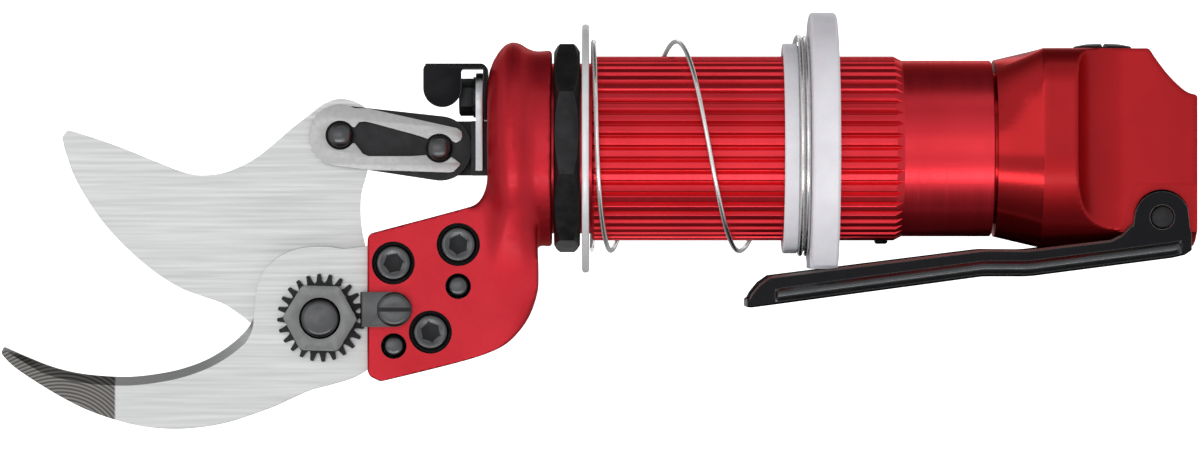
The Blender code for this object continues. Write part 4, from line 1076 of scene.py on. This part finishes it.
LEVER_TOP = [(35.3, -36.9), (36.5, -34.5), (38.4, -32.2), (40.8, -30.5), (91.8, -24.1),
             (102.2, -24.2), (121.7, -21.9), (124.3, -20.6), (126.6, -18.2)]
LEVER_LOW = [(35.3, -37.9), (36.4, -38.0), (41.7, -37.3), (91.3, -30.6), (102.2, -30.6),
             (136.2, -26.2), (139.3, -25.5), (140.9, -24.4)]
SHEET = 1.6
LEVER_HALF = 15.2
BEAD = (42.0, 138.4)
BEAD_RISE = 1.1
BEAD_TOP = 3.7
BEAD_TALL = 3.0
BEAD_FADE = 0.9
EAR_RADIUS = 6.6
EAR_REACH = 6.45
EAR_BACK = (-18.1, 3.4)
SHEET_END = 127.6


def level(points, x):
    """Height of a polyline at x."""
    for (x0, z0), (x1, z1) in zip(points, points[1:]):
        if x <= x1:
            return z0 + (z1 - z0) * (x - x0) / (x1 - x0)
    return points[-1][1]


def lever_top(x):
    """Height of the lever's upper edge, with the round ear at its pin."""
    away = x - LEVER_PIN[0]
    if away > EAR_REACH:
        return EAR_BACK[0] - (away - EAR_REACH) * EAR_BACK[1]
    heights = [level(LEVER_TOP, x)] if x < SHEET_END else []
    if abs(away) < EAR_RADIUS:
        heights.append(LEVER_PIN[1] + math.sqrt(EAR_RADIUS**2 - away**2))
    return max(heights)


def trigger_lever():
    """Pressed channel: a U section carried along the lever, with a bead along each bend."""
    stations = [35.3, 35.9, 36.5, 37.4, 38.4, 39.6, 40.8, 41.4, 42.0, 42.6, 43.4]
    stations += [46.0 + 5.0 * i for i in range(9)] + [89.5, 91.0, 92.5, 95.0, 99.0, 101.2, 103.2]
    stations += [106.0 + 4.0 * i for i in range(4)] + [121.0 + 0.5 * i for i in range(40)]
    stations += [140.6, 140.9]
    bend = [(math.cos(a), math.sin(a)) for a in (math.radians(15 * i) for i in range(7))]
    rings = []
    for x in stations:
        low = level(LEVER_LOW, x)
        top = max(lever_top(x), low + SHEET + 0.1)
        tall = top - low
        whole = min(1.0, max(0.0, min(x - BEAD[0], BEAD[1] - x) / BEAD_FADE))
        rise = BEAD_RISE * math.sqrt(1 - (1 - whole)**2)
        curl = min(0.7, tall / 3)
        outer = [(LEVER_HALF - 0.5, top), (LEVER_HALF, top - 0.5)]
        if tall > BEAD_TOP + 1.0:
            outer += [(LEVER_HALF, low + BEAD_TOP + 0.3), (LEVER_HALF, low + BEAD_TOP)]
            outer += [(LEVER_HALF + rise * math.sin(math.pi * k / 10),
                       low + BEAD_TOP - BEAD_TALL * k / 10) for k in range(1, 10)]
        else:
            outer += [(LEVER_HALF, top - 0.5 - (tall - 0.5 - curl) * k / 12) for k in range(1, 12)]
        outer += [(LEVER_HALF - curl * (1 - c), low + curl * (1 - s)) for c, s in bend]
        wall = LEVER_HALF - SHEET
        inner = [(wall + 0.2, top), (wall, top - 0.2), (wall, min(low + SHEET + 0.8, top - 0.35)),
                 (wall - 0.8, min(low + SHEET, top - 0.4))]
        section = [(-y, z) for y, z in outer] + outer[::-1]
        section += inner + [(-y, z) for y, z in reversed(inner)]
        rings.append([(x, y, z) for y, z in section])
    lever = skin("trigger_lever_fine", rings, 40.0)
    cut(lever, rod("ears", LEVER_PIN, 2.9, -20.0, 20.0, steps=32), smooth=40.0)
    stand_in(lever, "trigger_lever")
    # painted highlight: the bead's outer faces get a lighter black
    inked(lever, "bead_highlight", lambda x, y, z: abs(y) > LEVER_HALF + 0.02)
    # painted highlight: a thin pale-brown line along the top rims of the side walls
    inked(lever, "edge_highlight", lambda x, y, z: LEVER_HALF - 0.4 < abs(y) < LEVER_HALF - 0.1
          and x < 127.0 and abs(z + 0.25 - lever_top(x)) < 0.15)
    pin = [(-15.8, 0), (-15.8, 2.1), (-15.7, 2.35), (-15.4, 2.6), (15.4, 2.6), (15.7, 2.35),
           (15.8, 2.1), (15.8, 0)]
    stand_in(turned("lever_pin_fine", pin, "Y", LEVER_PIN, 40), "lever_pin")


# ---- inner parts


def inner_parts():
    tongue = arc(PIN_B, 6.5, 90, 270, 32) + [(-30.1, -6.5), (-30.1, 6.5)]
    eye = plate("rod_eye_fine", tongue, -2.0, 2.0, [circle(PIN_B, 2.8, 32)])
    cut(eye, plate("block", box(-30.3, -6.5, -23.3, 6.5), -6.5, 6.5), operation="UNION")
    cut(eye, rod("stud", (0.0, 0.0), 3.7, -29.0, -20.0, "X", 32))
    stand_in(soften(eye, 0.3), "rod_eye")
    profile = [(-28.6, 0), (-28.6, 3.4), (-23.0, 3.4), (-23.0, 5.0), (73.3, 5.0), (73.3, 4.0),
               (91.0, 4.0), (91.5, 3.5), (91.5, 0)]
    stand_in(turned("piston_rod_fine", profile), "piston_rod")
    places = [(0.0, -14.2), (1.0, -11.7), (6.0, 69.6), (7.0, 72.2)]
    path = coil([(turn, place, 12.5) for turn, place in places], 40)
    spring = wire("return_spring_fine", path, 1.1, 10)
    stand_in(spring, "return_spring")
    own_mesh(spring)


# ---- nodes that stay as they are


def dress_nodes():
    """Gives each frame node the finish of its slot."""
    for part in frame["record"]["subparts"]:
        mesh = frame["nodes"][part["node"]].data
        mesh.materials.clear()
        mesh.materials.append(LOOKS[part["material_slot"]].material)


studio()
dress_nodes()
head_casting()
fasteners()
lock_parts()
gland_parts()
counter_blade()
cutting_blade()
pivot_stack()
link_group()
barrel()
guard()
valve_body()
trigger_lever()
inner_parts()
